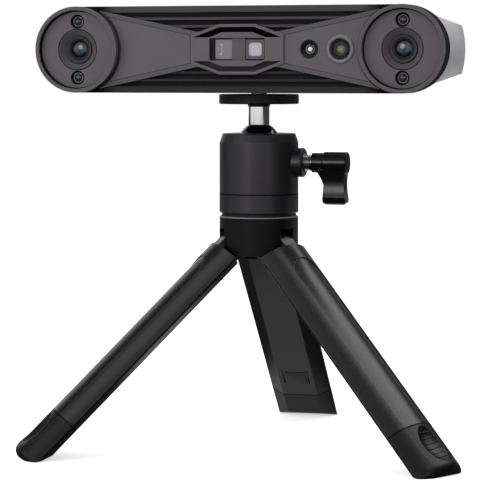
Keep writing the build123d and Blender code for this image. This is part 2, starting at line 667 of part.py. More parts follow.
def front_casing():
    body = slab(SlotCenterToCenter(CAN_SPACING, CAN_DIAMETER), RIB_FRONT, CASING_DEPTH)
    for index in range(GROOVES_PER_SIDE):
        top = CAN_RADIUS - EDGE_BAND - index * (GROOVE_WIDTH + RIB_WIDTH)
        slope = (GROOVE_WIDTH - GROOVE_FLOOR) / 2
        floor = RIB_FRONT + GROOVE_DEPTH
        profile = Polyline(
            (RIB_FRONT, top), (floor, top - slope), (floor, top - slope - GROOVE_FLOOR),
            (RIB_FRONT, top - GROOVE_WIDTH), close=True,
        )
        groove = extrude(Plane.YZ * make_face(profile), CAN_X, both=True)
        body -= groove
        body -= mirror(groove, Plane.XY)
    body -= slab(offset(face_outline, SEAT_GAP / 2), RIB_FRONT, face_back)
    for x in CAN_SIDES.values():
        body += disc_at(x, 0, CAN_RADIUS, 0, CASING_DEPTH)
    inside = SlotCenterToCenter(CAN_SPACING, CAN_DIAMETER - 2 * SHELL_WALL)
    body -= slab(inside, cavity_front, CASING_DEPTH)
    for x in CAN_SIDES.values():
        body -= disc_at(x, 0, CAN_RADIUS - CAN_RING_WALL, 0, disc_back)
        body -= disc_at(x, 0, CONE_RADIUS, 0, barrel_front)
        body -= disc_at(x, 0, BARREL_RADIUS, 0, CASING_DEPTH)
    for x, z in light_places:
        body -= disc_at(x, z, LIGHT_BODY_RADIUS, 0, CASING_DEPTH)
    body -= slab(module_opening, 0, CASING_DEPTH)
    body -= disc_at(FLASH_X, 0, FLASH_CUP_RADIUS, 0, FACE_FRONT + FLASH_CUP_DEPTH)
    body -= disc_at(COLOUR_X, 0, COLOUR_RING_RADIUS, 0, FACE_FRONT + COLOUR_RING_DEPTH)
    return body


def face_frame():
    """Bow-tie plate with a rim, and pockets for the two panels and the bezel."""
    plate = slab(face_outline, FACE_FRONT, face_back)
    pockets = hexagon + panel_outline(-1) + panel_outline(1)
    plate -= slab(pockets, FACE_FRONT, panel_back)
    plate -= slab(window, 0, face_back)
    plate -= disc_at(FLASH_X, 0, FLASH_CUP_RADIUS, 0, face_back)
    return plate - disc_at(COLOUR_X, 0, COLOUR_RING_RADIUS, 0, face_back)


def projector_bezel():
    """Six-sided frame round two dark pockets, with a bridge and a hump that hold the window plate."""
    inside = offset(hexagon, -HEX_BAND)
    bridge = Rectangle(2 * HEX_HALF_LENGTH, 2 * BRIDGE_HALF_HEIGHT)
    hump_corners = [(HUMP_HALF_LENGTH, HUMP_HALF_HEIGHT), (HUMP_FOOT_HALF_LENGTH, BRIDGE_HALF_HEIGHT)]
    hump = mirrored_polygon(hump_corners)
    ring = hexagon - (inside - bridge - hump)
    return slab(offset(ring, -SEAT_GAP / 4) - window, bezel_front, panel_back)


keep_in_scanner("front_casing", front_casing())
keep_in_scanner("face_frame", face_frame())
keep_in_scanner("left_face_panel", slab(offset(panel_outline(-1), -PANEL_SEAM), FACE_FRONT, panel_back))
right_panel = slab(offset(panel_outline(1), -PANEL_SEAM), FACE_FRONT, panel_back)
right_panel -= disc_at(FLASH_X, 0, FLASH_CUP_RADIUS, 0, panel_back)
right_panel -= disc_at(COLOUR_X, 0, COLOUR_RING_RADIUS, 0, panel_back)
keep_in_scanner("right_face_panel", right_panel)
keep_in_scanner("projector_bezel", projector_bezel())

# Projector window: a plate with two square openings, a pane over the laser and the pattern lens
laser_opening = Pos(LASER_X, 0) * Rectangle(LASER_WIDTH, PANE_HEIGHT)
projector_opening = Pos(PROJECTOR_X, 0) * Rectangle(PROJECTOR_WIDTH, PANE_HEIGHT)
lens_outline = RectangleRounded(PROJECTOR_LENS_WIDTH, PROJECTOR_LENS_WIDTH, PROJECTOR_LENS_CORNER)
lens_opening = Pos(PROJECTOR_X, 0) * lens_outline
window_plate = slab(offset(window, -SEAT_GAP / 2), window_front, window_back)
pane_front = window_front + PANE_SETBACK
pane_back = pane_front + PANE_THICKNESS
window_plate -= slab(laser_opening, 0, window_back)
window_plate -= slab(projector_opening, 0, window_back)
keep_in_scanner("window_plate", window_plate)
keep_in_scanner("laser_pane", slab(offset(laser_opening, -SEAT_GAP / 2), pane_front, pane_back))
module_back = window_back + MODULE_LENGTH
laser_module = slab(offset(laser_opening, -SEAT_GAP / 2), pane_back, module_back)
keep_in_scanner("laser_module", laser_module)
lens_frame = slab(offset(projector_opening, -SEAT_GAP / 2) - lens_opening, pane_front, pane_back)
keep_in_scanner("projector_frame", lens_frame)
projector_lens = slab(offset(lens_opening, -SEAT_GAP / 2), pane_front + PANE_SETBACK, pane_back)
keep_in_scanner("projector_lens", projector_lens)
projector_block = slab(offset(projector_opening, -SEAT_GAP / 2), pane_back, module_back)
keep_in_scanner("pattern_projector", projector_block)

# Camera cans: a recessed disc, a dark cone, the lens barrel, its front glass and its board
for side, x in CAN_SIDES.items():
    disc = disc_at(x, 0, CAN_RADIUS - CAN_RING_WALL - SLIDING_FIT, DISC_FRONT, disc_back)
    disc -= disc_at(x, 0, CONE_RADIUS, 0, disc_back)
    for z in (LIGHT_OFFSET, -LIGHT_OFFSET):
        well = [(0, DISC_FRONT), (LIGHT_WELL_RADIUS, DISC_FRONT)]
        well += [(LIGHT_WELL_FLOOR_RADIUS, disc_back), (0, disc_back)]
        disc -= ring_profile(x, z, well)
    keep_in_scanner(f"{side}_end_disc", disc)
    cone = ring_profile(x, 0, [
        (CONE_RADIUS - SEAT_GAP, DISC_FRONT),
        (CONE_RADIUS - SEAT_GAP, barrel_front),
        (CONE_FLOOR_RADIUS, barrel_front),
        (CONE_RADIUS - 2 * SEAT_GAP, DISC_FRONT),
    ])
    keep_in_scanner(f"{side}_lens_cone", cone)
    lens_front = barrel_front + LENS_SETBACK
    lens_back = lens_front + LENS_THICKNESS
    barrel = disc_at(x, 0, BARREL_RADIUS - SEAT_GAP, barrel_front, frame_back)
    barrel -= disc_at(x, 0, BARREL_RIM_RADIUS, barrel_front, lens_back)
    keep_in_scanner(f"{side}_camera_barrel", barrel)
    glass_radius = BARREL_RIM_RADIUS - SEAT_GAP / 2
    crown = ThreePointArc((0, lens_front - LENS_CROWN), (glass_radius / 2, lens_front - LENS_CROWN * 0.75),
                          (glass_radius, lens_front))
    rest = Polyline((glass_radius, lens_front), (glass_radius, lens_back), (0, lens_back),
                    (0, lens_front - LENS_CROWN))
    lens = Pos(x, 0, 0) * revolve(make_face([crown, rest]), Axis.Y)
    keep_in_scanner(f"{side}_camera_lens", lens)
    board_outline = Pos(x, 0) * Rectangle(CAMERA_BOARD_SIZE, CAMERA_BOARD_SIZE)
    board = slab(board_outline, frame_back, frame_back + BOARD_THICKNESS)
    keep_in_scanner(f"{side}_camera_board", board)

light_front = disc_back
light_profile = [
    (0, light_front - LIGHT_DOME_HEIGHT),
    (LIGHT_DOME_RADIUS * 0.7, light_front - LIGHT_DOME_HEIGHT * 0.7),
    (LIGHT_DOME_RADIUS, light_front),
    (LIGHT_BODY_RADIUS - SEAT_GAP / 2, light_front),
    (LIGHT_BODY_RADIUS - SEAT_GAP / 2, light_front + LIGHT_BODY_LENGTH),
    (0, light_front + LIGHT_BODY_LENGTH),
]
keep_in_scanner("fill_lights", *[ring_profile(x, z, light_profile) for x, z in light_places])

# Flash light and colour camera
flash_back = FACE_FRONT + FLASH_CUP_DEPTH
flash_cup = ring_profile(FLASH_X, 0, [
    (FLASH_LED_RADIUS + SEAT_GAP, flash_back),
    (FLASH_CUP_RADIUS - SEAT_GAP, flash_back),
    (FLASH_CUP_RADIUS - SEAT_GAP, FACE_FRONT),
    (FLASH_CUP_RADIUS - 4 * SEAT_GAP, FACE_FRONT),
    (FLASH_FLOOR_RADIUS, flash_back - FLASH_LED_RADIUS / 2),
    (FLASH_LED_RADIUS + SEAT_GAP, flash_back - FLASH_LED_RADIUS / 2),
])
keep_in_scanner("flash_cup", flash_cup)
flash_led = disc_at(FLASH_X, 0, FLASH_LED_RADIUS, flash_back - FLASH_LED_RADIUS, flash_back)
keep_in_scanner("flash_led", fillet(flash_led.edges().group_by(Axis.Y)[0], FLASH_LED_RADIUS * 0.6))
ring_front = FACE_FRONT - COLOUR_RING_PROUD
ring_back = FACE_FRONT + COLOUR_RING_DEPTH
colour_ring = ring_profile(COLOUR_X, 0, [
    (COLOUR_RING_BORE, ring_back),
    (COLOUR_RING_RADIUS - SEAT_GAP, ring_back),
    (COLOUR_RING_RADIUS - SEAT_GAP, FACE_FRONT),
    (COLOUR_RING_RADIUS - COLOUR_RING_PROUD, ring_front),
    (COLOUR_RING_BORE + COLOUR_RING_PROUD / 2, ring_front),
    (COLOUR_RING_BORE, ring_front + COLOUR_RING_PROUD),
])
keep_in_scanner("colour_camera_ring", colour_ring)
colour_front = ring_front + COLOUR_BARREL_SETBACK
colour_barrel = disc_at(COLOUR_X, 0, COLOUR_RING_BORE - SEAT_GAP, colour_front + LENS_SETBACK, ring_back)
colour_barrel += disc_at(COLOUR_X, 0, COLOUR_BARREL_RADIUS, colour_front, ring_back)
colour_barrel -= disc_at(COLOUR_X, 0, COLOUR_LENS_RADIUS, colour_front, colour_front + LENS_SETBACK)
keep_in_scanner("colour_camera_barrel", colour_barrel)
colour_lens = disc_at(COLOUR_X, 0, COLOUR_LENS_RADIUS - SEAT_GAP / 2, colour_front + LENS_SETBACK / 4,
                      colour_front + LENS_SETBACK)
keep_in_scanner("colour_camera_lens", colour_lens)

# Optics frame behind the front casing, which carries the cameras and the two projectors
frame = slab(SlotOverall(frame_length, FRAME_HEIGHT), cavity_front, frame_back)
for x in CAN_SIDES.values():
    frame -= disc_at(x, 0, BARREL_RADIUS, 0, frame_back)
frame -= slab(module_opening, 0, frame_back)
for x, z in screw_places:
    frame -= disc_at(x, z, CASING_SCREW_RADIUS, 0, frame_back)
keep_in_scanner("optics_frame", frame)

# Rear shell: the round-ended front outline runs back to a lower, nearly square rear face


def shell_outline(half_length, half_height, bulge, depth):
    edges = [
        Line((-half_length, half_height), (half_length, half_height)),
        ThreePointArc((half_length, half_height), (half_length + bulge, 0), (half_length, -half_height)),
        Line((half_length, -half_height), (-half_length, -half_height)),
        ThreePointArc((-half_length, -half_height), (-half_length - bulge, 0), (-half_length, half_height)),
    ]
    plane = Plane(origin=(0, depth, 0), x_dir=(1, 0, 0), z_dir=(0, -1, 0))
    return plane * make_face(edges)


def shell_solid(inset):
    """The shell's outside, or its inside when it is inset by the wall."""
    radius = CAN_RADIUS - inset
    front = shell_outline(CAN_X, radius, radius, CASING_DEPTH)
    rear_half_length = CAN_X + CAN_RADIUS - REAR_END_INSET - inset
    rear = shell_outline(rear_half_length, REAR_HEIGHT / 2 - inset, REAR_BULGE, SCANNER_DEPTH - inset)
    return loft([front, rear], ruled=True)


def rear_shell():
    outside = shell_solid(0)
    rear_edges = outside.faces().sort_by(Axis.Y)[-1].edges()
    outside = fillet(rear_edges, REAR_EDGE_RADIUS)
    boss_plan = Pos(SOCKET_OFFSET, SOCKET_SETBACK) * RectangleRounded(BOSS_WIDTH, BOSS_DEPTH, BOSS_CORNER)
    boss = extrude(level(-CAN_RADIUS) * boss_plan, BOSS_HEIGHT)
    hollow = shell_solid(SHELL_WALL)
    rear_inside = SCANNER_DEPTH - SHELL_WALL
    body = outside - hollow + boss
    for x, z in screw_places:
        body += disc_at(x, z, CASING_SCREW_RADIUS + SCREW_POST_WALL, frame_back, rear_inside)
    for x in (-BOARD_POST_X, BOARD_POST_X):
        for z in (-BOARD_POST_Z, BOARD_POST_Z):
            body += disc_at(x, z, BOARD_POST_RADIUS, board_back, rear_inside)
    for x, z in screw_places:
        body -= disc_at(x, z, CASING_SCREW_RADIUS, frame_back, SCANNER_DEPTH)
        head_floor = SCANNER_DEPTH - CASING_SCREW_HEAD_HEIGHT
        body -= disc_at(x, z, CASING_SCREW_HEAD_RADIUS + SEAT_GAP, head_floor, SCANNER_DEPTH)
    socket_plan = Pos(SOCKET_OFFSET, SOCKET_SETBACK) * Circle(SOCKET_RADIUS)
    body -= extrude(level(-CAN_RADIUS) * socket_plan, SOCKET_HEIGHT)
    body -= disc_at(0, 0, BUTTON_RADIUS + SLIDING_FIT, board_back, SCANNER_DEPTH)
    body -= disc_at(LIGHT_PIPE_X, 0, LIGHT_PIPE_RADIUS + RUNNING_FIT, board_back, SCANNER_DEPTH)
    usb_cut = offset(usb_outline(), RUNNING_FIT)
    return body - slab(usb_cut, board_back, SCANNER_DEPTH)


def usb_outline():
    return Pos(USB_X, 0) * SlotOverall(USB_WIDTH, USB_HEIGHT)


keep_in_scanner("rear_shell", rear_shell())
socket = Circle(SOCKET_RADIUS) - Circle(SCREW_DIAMETER / 2 + RUNNING_FIT)
socket = Pos(SOCKET_OFFSET, SOCKET_SETBACK) * socket
keep_in_scanner("tripod_socket", extrude(level(-CAN_RADIUS) * socket, SOCKET_HEIGHT))
casing_screws = []
for x, z in screw_places:
    shank = disc_at(x, z, CASING_SCREW_RADIUS, cavity_front + SEAT_GAP, SCANNER_DEPTH - SEAT_GAP)
    head_start = SCANNER_DEPTH - CASING_SCREW_HEAD_HEIGHT
    head = disc_at(x, z, CASING_SCREW_HEAD_RADIUS, head_start, SCANNER_DEPTH - SEAT_GAP)
    casing_screws.append(shank + head)
keep_in_scanner("casing_screws", *casing_screws)

# Main board, and the button, light pipe and socket that reach the rear face
post_side = CASING_SCREW_X - CASING_SCREW_RADIUS - SCREW_POST_WALL
board_length = 2 * (post_side - MAIN_BOARD_TO_POST)
main_board = slab(Rectangle(board_length, MAIN_BOARD_HEIGHT), board_front, board_back)
keep_in_scanner("main_board", main_board)
usb_socket = slab(usb_outline() - offset(usb_outline(), -USB_WALL), board_back + USB_WALL, SCANNER_DEPTH)
usb_socket += slab(usb_outline(), board_back, board_back + USB_WALL)
keep_in_scanner("usb_socket", usb_socket)
button_back = SCANNER_DEPTH + BUTTON_PROUD
flange_back = SCANNER_DEPTH - SHELL_WALL - SEAT_GAP
button = disc_at(0, 0, BUTTON_RADIUS, flange_back - BUTTON_FLANGE, button_back)
button = fillet(button.edges().group_by(Axis.Y)[-1], BUTTON_PROUD / 2)
button += disc_at(0, 0, BUTTON_RADIUS + BUTTON_FLANGE, flange_back - BUTTON_FLANGE, flange_back)
keep_in_scanner("scan_button", button)
switch_back = flange_back - BUTTON_FLANGE - BUTTON_TRAVEL - SEAT_GAP
switch_outline = Rectangle(2 * BUTTON_FLANGE + BUTTON_RADIUS, BUTTON_RADIUS)
keep_in_scanner("scan_switch", slab(switch_outline, board_back, switch_back))
light_pipe = disc_at(LIGHT_PIPE_X, 0, LIGHT_PIPE_RADIUS, board_back, SCANNER_DEPTH + SEAT_GAP)
keep_in_scanner("status_light", light_pipe)
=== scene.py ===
# %% [markdown]
# A bar-shaped three-dimensional scanner stands on a ball head and a folding mini tripod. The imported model
# gives every solid in its place, in metres, with +Z up and the scanner facing -Y. This lesson dresses those
# solids with finishes, adds the small forms that the solids leave out, and sets up the light and the
# camera.

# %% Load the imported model
import bpy
import bmesh
from math import atan2, cos, pi, radians, sin, sqrt
from mathutils import Matrix, Vector


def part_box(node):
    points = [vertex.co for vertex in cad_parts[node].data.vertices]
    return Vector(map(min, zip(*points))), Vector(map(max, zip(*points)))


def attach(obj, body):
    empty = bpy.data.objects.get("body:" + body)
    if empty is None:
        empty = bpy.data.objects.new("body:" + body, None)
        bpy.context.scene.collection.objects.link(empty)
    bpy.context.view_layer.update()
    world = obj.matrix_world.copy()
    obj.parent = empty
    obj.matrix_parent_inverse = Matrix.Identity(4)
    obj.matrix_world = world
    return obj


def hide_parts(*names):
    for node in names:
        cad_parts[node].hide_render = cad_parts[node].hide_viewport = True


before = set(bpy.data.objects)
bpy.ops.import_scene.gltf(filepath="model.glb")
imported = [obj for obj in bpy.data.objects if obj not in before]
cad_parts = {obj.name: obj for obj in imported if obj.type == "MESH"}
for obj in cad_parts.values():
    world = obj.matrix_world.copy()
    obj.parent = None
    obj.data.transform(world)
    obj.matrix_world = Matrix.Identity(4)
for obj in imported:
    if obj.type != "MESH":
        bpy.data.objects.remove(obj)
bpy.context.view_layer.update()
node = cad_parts
MM = 0.001

# %% [markdown]
# The camera comes first, so that every later step is judged in the photograph's own framing. The values
# were solved from points whose place on the object is known: the two cameras, the corners of the
# projector's bezel, the ball head's seams and the joints of the feet. A long lens from about a metre away
# keeps the scanner's long edges almost parallel.

# %% Camera
FRAME_PIXELS = 480
FOCAL_PIXELS = 2315.0
CAMERA_AZIMUTH = radians(16.1)
CAMERA_DISTANCE = 1080.4 * MM
CAMERA_HEIGHT = 176.9 * MM
CAMERA_PITCH = radians(4.192)
CAMERA_YAW = radians(-0.469)

camera_data = bpy.data.cameras.new("camera")
camera_data.sensor_width = 36.0
camera_data.lens = FOCAL_PIXELS * camera_data.sensor_width / FRAME_PIXELS
camera = bpy.data.objects.new("camera", camera_data)
bpy.context.scene.collection.objects.link(camera)
sideways = CAMERA_DISTANCE * sin(CAMERA_AZIMUTH)
forwards = CAMERA_DISTANCE * cos(CAMERA_AZIMUTH)
camera.location = (sideways, -forwards, CAMERA_HEIGHT)
heading = CAMERA_AZIMUTH - CAMERA_YAW
gaze = Vector((-sin(heading) * cos(CAMERA_PITCH), cos(heading) * cos(CAMERA_PITCH), -sin(CAMERA_PITCH)))
camera.rotation_mode = "QUATERNION"
camera.rotation_quaternion = gaze.to_track_quat("-Z", "Y")
bpy.context.scene.camera = camera
bpy.context.scene.view_settings.view_transform = "Standard"
print("lens", round(camera_data.lens, 1), "mm")

# %% [markdown]
# Colours are written as the sRGB values that a picture shows. Blender's sockets take linear light, so one
# function turns them. A second one adds a node, sets it and links it in one line.

# %% Colour and node helpers


def colour(code, scale=1.0):
    """Linear RGBA of an sRGB hex value."""
    parts = [int(code[i:i + 2], 16) / 255 for i in (1, 3, 5)]
    linear = [p / 12.92 if p <= 0.04045 else ((p + 0.055) / 1.055) ** 2.4 for p in parts]
    return (*[min(1.0, v * scale) for v in linear], 1.0)


def add(tree, kind, links=None, **settings):
    """Add a node, set its attributes, and give each named input a value or a link."""
    fresh = tree.nodes.new("ShaderNode" + kind)
    for key, value in settings.items():
        setattr(fresh, key, value)
    for key, value in (links or {}).items():
        if isinstance(value, bpy.types.NodeSocket):
            tree.links.new(value, fresh.inputs[key])
        else:
            fresh.inputs[key].default_value = value
    return fresh


def begin(name):
    """A new material with an empty Principled shader, and its object coordinates."""
    material = bpy.data.materials.new(name)
    material.use_nodes = True
    tree = material.node_tree
    tree.nodes.clear()
    shader = add(tree, "BsdfPrincipled")
    add(tree, "OutputMaterial", {"Surface": shader.outputs[0]})
    place = add(tree, "TexCoord").outputs["Object"]
    return material, tree, shader, place


print("mid grey in linear light", round(colour("#808080")[0], 3))

# %% [markdown]
# The studio is a white paper sweep. Its floor is one big square.

# %% Floor
FLOOR_REACH = 6.0
floor_mesh = bpy.data.meshes.new("floor")
shape = bmesh.new()
bmesh.ops.create_grid(shape, x_segments=1, y_segments=1, size=FLOOR_REACH)
shape.to_mesh(floor_mesh)
shape.free()
floor = bpy.data.objects.new("floor", floor_mesh)
bpy.context.scene.collection.objects.link(floor)
print("floor reaches", FLOOR_REACH, "m to each side")

# %% [markdown]
# Paper is matt. The camera sees it lit and glowing a little, so it is white and still keeps the soft shadow
# of the feet. The light that bounces from it onto the object is greyer than a real sweep's, so undersides
# stay dark. What gloss and metal mirror in it depends on the place: it is dark close to the feet, light
# behind the object and far in front of it, and a small white card lies under the rear leg. Each place is a
# product of soft steps.

# %% Paper of the sweep
PAPER_GLOW = 0.6
CARD_X = -0.015
FLOOR_DIM = 0.05
paper = bpy.data.materials.new("white_paper_sweep")
paper.use_nodes = True
tree = paper.node_tree
tree.nodes.clear()
ray = add(tree, "LightPath")
lit = add(tree, "BsdfDiffuse", {"Color": colour("#f2f2f2")})
glow = add(tree, "Emission", {"Strength": PAPER_GLOW})
bright = add(tree, "AddShader", {0: lit.outputs[0], 1: glow.outputs[0]})
shaded = add(tree, "BsdfDiffuse", {"Color": colour("#c0c0c0")})
place = add(tree, "TexCoord").outputs["Object"]
axes = add(tree, "SeparateXYZ", {"Vector": place})
back = axes.outputs["Y"]
reach = add(tree, "VectorMath", {0: place}, operation="LENGTH").outputs["Value"]
beside = add(tree, "Math", {0: axes.outputs["X"], 1: CARD_X}, operation="SUBTRACT").outputs[0]
aside = add(tree, "Math", {0: beside}, operation="ABSOLUTE").outputs[0]
# Each place has a strength and its steps: a value, where the step starts and where it is full, in metres.
mirrored_places = {
    "floor behind the object": (1.1, [(reach, 1.2, 0.3), (back, 0.13, 0.23)]),
    "floor far in front": (0.6, [(back, -1.0, -1.8)]),
    "card under the rear leg": (0.5, [(aside, 0.036, 0.022), (back, 0.0, 0.03), (back, 0.16, 0.13)]),
}
level = FLOOR_DIM
for strength, steps in mirrored_places.values():
    cover = strength
    for value, start, full in steps:
        step = add(tree, "MapRange", {"Value": value, "From Min": start, "From Max": full})
        cover = add(tree, "Math", {0: cover, 1: step.outputs["Result"]}, operation="MULTIPLY").outputs[0]
    level = add(tree, "Math", {0: cover, 1: level}, operation="ADD").outputs[0]
mirrored = add(tree, "Emission", {"Strength": level})
shiny = add(tree, "Math", {0: ray.outputs["Is Glossy Ray"], 1: ray.outputs["Is Transmission Ray"]},
            operation="MAXIMUM").outputs[0]
unseen = add(tree, "MixShader", {0: shiny, 1: shaded.outputs[0], 2: mirrored.outputs[0]})
seen = add(tree, "MixShader", {0: ray.outputs["Is Camera Ray"], 1: unseen.outputs[0], 2: bright.outputs[0]})
add(tree, "OutputMaterial", {"Surface": seen.outputs[0]})
floor_mesh.materials.append(paper)
print("the floor mirrors", list(mirrored_places))

# %% [markdown]
# The room itself is the world's colour, which depends on the direction. A wide white panel stands low round
# the front, softboxes hang above, strips of white show behind, and the right side is unlit, which gives the
# black metal its dark side. Each light is a lobe: a dot product with its direction, turned to a soft-edged
# mask. Metal, gloss and glass mirror those lights. Matt surfaces get a simpler and softer room, and the
# camera sees plain white.

# %% Room
ROOM_DIM = 0.06
PANEL_STRENGTH = 0.92
# Each light has a direction, the two cosines where it starts and where it is full, and a strength.
MIRRORED_LIGHTS = {
    "white strip behind on the left": ((-0.57, 0.77, 0.28), 0.87, 0.97, 0.85),
    "white strip straight behind": ((0.1, 0.98, 0.15), 0.96, 0.99, 0.3),
    "softbox overhead, to the back right": ((0.34, 0.23, 0.91), 0.77, 0.96, 2.9),
    "pale ceiling": ((0.1, -0.3, 0.95), 0.85, 0.97, 0.25),
    "softbox above the front left": ((-0.42, -0.40, 0.81), 0.89, 0.98, 1.15),
    "small box at the front left": ((-0.30, -0.94, 0.16), 0.988, 0.995, 3.6),
}
MATT_DIM = 0.16
MATT_LIGHTS = {
    "cards at the front left": ((-0.60, -0.80, 0.0), 0.15, 0.45, 0.55),
    "sky": ((0.0, 0.0, 1.0), 0.0, 0.9, 0.5),
}
world = bpy.data.worlds.new("studio")
world.use_nodes = True
bpy.context.scene.world = world
tree = world.node_tree
tree.nodes.clear()
outward = add(tree, "TexCoord").outputs["Generated"]


def lobe(direction, start, full):
    """Mask of the directions round one direction, from nothing to full along two values of the cosine."""
    toward = add(tree, "VectorMath", {0: outward, 1: direction}, operation="DOT_PRODUCT").outputs["Value"]
    return add(tree, "MapRange", {"Value": toward, "From Min": start, "From Max": full},
               interpolation_type="SMOOTHSTEP").outputs["Result"]


def room(level, lights):
    """Add the lights, each a direction, its two cosines and its strength, to a level."""
    for direction, start, full, strength in lights.values():
        mask = lobe(direction, start, full)
        level = add(tree, "Math", {0: mask, 1: strength, 2: level}, operation="MULTIPLY_ADD").outputs[0]
    return level


low = lobe((0.0, 0.0, 1.0), 0.6, 0.4)
panel = lobe((-0.276, -0.961, 0.0), 0.24, 0.36)
low_panel = add(tree, "Math", {0: panel, 1: low}, operation="MULTIPLY").outputs[0]
dim_panel = add(tree, "Math", {0: low_panel, 1: PANEL_STRENGTH, 2: ROOM_DIM},
                operation="MULTIPLY_ADD").outputs[0]
mirrored = room(dim_panel, MIRRORED_LIGHTS)
matt = room(MATT_DIM, MATT_LIGHTS)
ray = add(tree, "LightPath")
shiny = add(tree, "Math", {0: ray.outputs["Is Glossy Ray"], 1: ray.outputs["Is Transmission Ray"]},
            operation="MAXIMUM").outputs[0]
level = add(tree, "Mix", {0: shiny, 2: matt, 3: mirrored}, data_type="FLOAT").outputs[0]
surround = add(tree, "Background", {"Color": (1, 1, 1, 1), "Strength": level})
white = add(tree, "Background", {"Color": (1, 1, 1, 1), "Strength": 1.0})
mixed = add(tree, "MixShader", {0: ray.outputs["Is Camera Ray"], 1: surround.outputs[0], 2: white.outputs[0]})
add(tree, "OutputWorld", {"Surface": mixed.outputs[0]})
print("the room mirrors", list(MIRRORED_LIGHTS))

# %% [markdown]
# Two soft lamps light the matt surfaces. The wide one overhead leans a little to the back, and the weaker
# one low at the front left lights the scanner's left can more than its right. Mirrors don't see them: a
# lamp is a hard-edged rectangle, and the soft lights of the room look better in glass and chrome.

# %% Lamps


def soft_lamp(name, place, target, size, power):
    """A rectangular lamp at a place, turned to a target, hidden from mirrors."""
    data = bpy.data.lights.new(name, "AREA")
    data.shape = "RECTANGLE"
    data.size, data.size_y = size
    data.energy = power
    lamp = bpy.data.objects.new(name, data)
    bpy.context.scene.collection.objects.link(lamp)
    lamp.location = place
    lamp.rotation_mode = "QUATERNION"
    lamp.rotation_quaternion = (Vector(target) - Vector(place)).to_track_quat("-Z", "Y")
    lamp.visible_glossy = False
    return lamp


soft_lamp("overhead_softbox", (0.34, 0.55, 1.15), (0, 0, 0.12), (1.1, 1.0), 8.0)
soft_lamp("front_left_card", (-0.55, -0.50, 0.30), (-0.05, -0.03, 0.18), (0.4, 0.4), 1.4)

# %% [markdown]
# Most of the scanner and the legs are moulded plastic. The mould's skin is finely etched, which breaks up
# reflections and gives the eye a soft, slightly speckled grey. Every edge of a moulding is a little round,
# so the edges catch a thin line of light. A bevel node rounds the shading there and finds the edges, where
# a lighter tint is painted on as a highlight.

# %% How moulded plastic is made
EDGE_ROUND = 0.35
FLAT_COSINE = 0.99
EDGE_COSINE = 0.8
CLOUD_SIZE = 14.0
CLOUD_TINT = 0.03
ETCH_DEPTH = 0.05
ETCH_SPREAD = 0.03


def edges_of(tree):
    """The rounded normal, and a mask that is 1 on the edges."""
    rounded = add(tree, "Bevel", {"Radius": EDGE_ROUND * MM}, samples=6)
    true = add(tree, "NewGeometry").outputs["True Normal"]
    along = add(tree, "VectorMath", {0: rounded.outputs[0], 1: true}, operation="DOT_PRODUCT")
    mask = add(tree, "MapRange", {"Value": along.outputs["Value"], "From Min": FLAT_COSINE,
                                  "From Max": EDGE_COSINE})
    return rounded.outputs[0], mask.outputs["Result"]


def moulded(name, code, roughness, grain, relief, gloss=0.5, edge_highlight=1.5):
    """Etched plastic: its grain in millimetres, how strongly that dents the light, and its painted edge
    highlight.

    Real etching is about 0.1 mm fine. The grain is drawn coarser, so that it shows.
    """
    material, tree, shader, place = begin(name)
    normal, edge = edges_of(tree)
    speck = add(tree, "TexNoise", {"Vector": place, "Scale": 1 / (grain * MM), "Detail": 3.0})
    cloud = add(tree, "TexNoise", {"Vector": place, "Scale": 1 / (CLOUD_SIZE * MM), "Detail": 2.0})
    shade = add(tree, "MapRange", {"Value": cloud.outputs["Fac"], "From Min": 0.3, "From Max": 0.7})
    tint = add(tree, "Mix", {0: shade.outputs["Result"], 6: colour(code, 1 - CLOUD_TINT),
                             7: colour(code, 1 + CLOUD_TINT)}, data_type="RGBA")
    # The edges get a lighter tint, a painted highlight.
    highlit_edges = add(tree, "Mix", {0: edge, 6: tint.outputs[2], 7: colour(code, edge_highlight)}, data_type="RGBA")
    rough = add(tree, "MapRange", {"Value": speck.outputs["Fac"], "From Min": 0.3, "From Max": 0.7,
                                   "To Min": roughness - ETCH_SPREAD, "To Max": roughness + ETCH_SPREAD})
    dents = add(tree, "Bump", {"Height": speck.outputs["Fac"], "Strength": relief,
                               "Distance": ETCH_DEPTH * MM, "Normal": normal})
    tree.links.new(highlit_edges.outputs[2], shader.inputs["Base Color"])
    tree.links.new(rough.outputs["Result"], shader.inputs["Roughness"])
    tree.links.new(dents.outputs["Normal"], shader.inputs["Normal"])
    shader.inputs["Specular IOR Level"].default_value = gloss
    return material


print("edges rounded by", EDGE_ROUND, "mm, clouds of", CLOUD_SIZE, "mm")

# %% [markdown]
# One recipe gives all the plastics of the scanner and the tripod. What differs is the colour, how smooth
# the mould was, and how bright the painted highlight on the edges is. Black plastic shows almost only its
# gloss, so its painted edge highlight is the strongest.

# %% Moulded plastics
# After the colour come the roughness, the grain, its relief, the gloss and the painted edge highlight.
# Warm grey that mirrors nothing, with a painted highlight, a paler line, along its edges.
face_grey = moulded("etched_abs_face_grey", "#605b5f", 0.5, 0.9, 0.12, 0.4, 2.0)
# Sprayed silver: pale, even, with a broad soft shine.
shell_silver = moulded("silver_sprayed_abs", "#bab8bd", 0.42, 0.8, 0.06)
# The same spray, thinner and darker, on the small rings.
ring_silver = moulded("silver_sprayed_lens_ring", "#757276", 0.4, 0.6, 0.05)
# A dull grey funnel that swallows stray light.
cone_grey = moulded("matt_grey_lens_cone", "#575356", 0.55, 0.7, 0.15, 0.25, 1.5)
# Darker than the funnel, so that the rings of the lens part from each other.
hood_grey = moulded("dark_grey_lens_hood", "#3c393c", 0.5, 0.6, 0.1, 0.3, 2.0)
# Black with only a trace of shine.
optics_black = moulded("matt_black_abs", "#171617", 0.5, 0.9, 0.15, 0.4, 3.0)
# A smoother grey that edges the projector's window.
frame_grey = moulded("grey_projector_frame", "#5b585a", 0.45, 0.7, 0.1, 0.4)
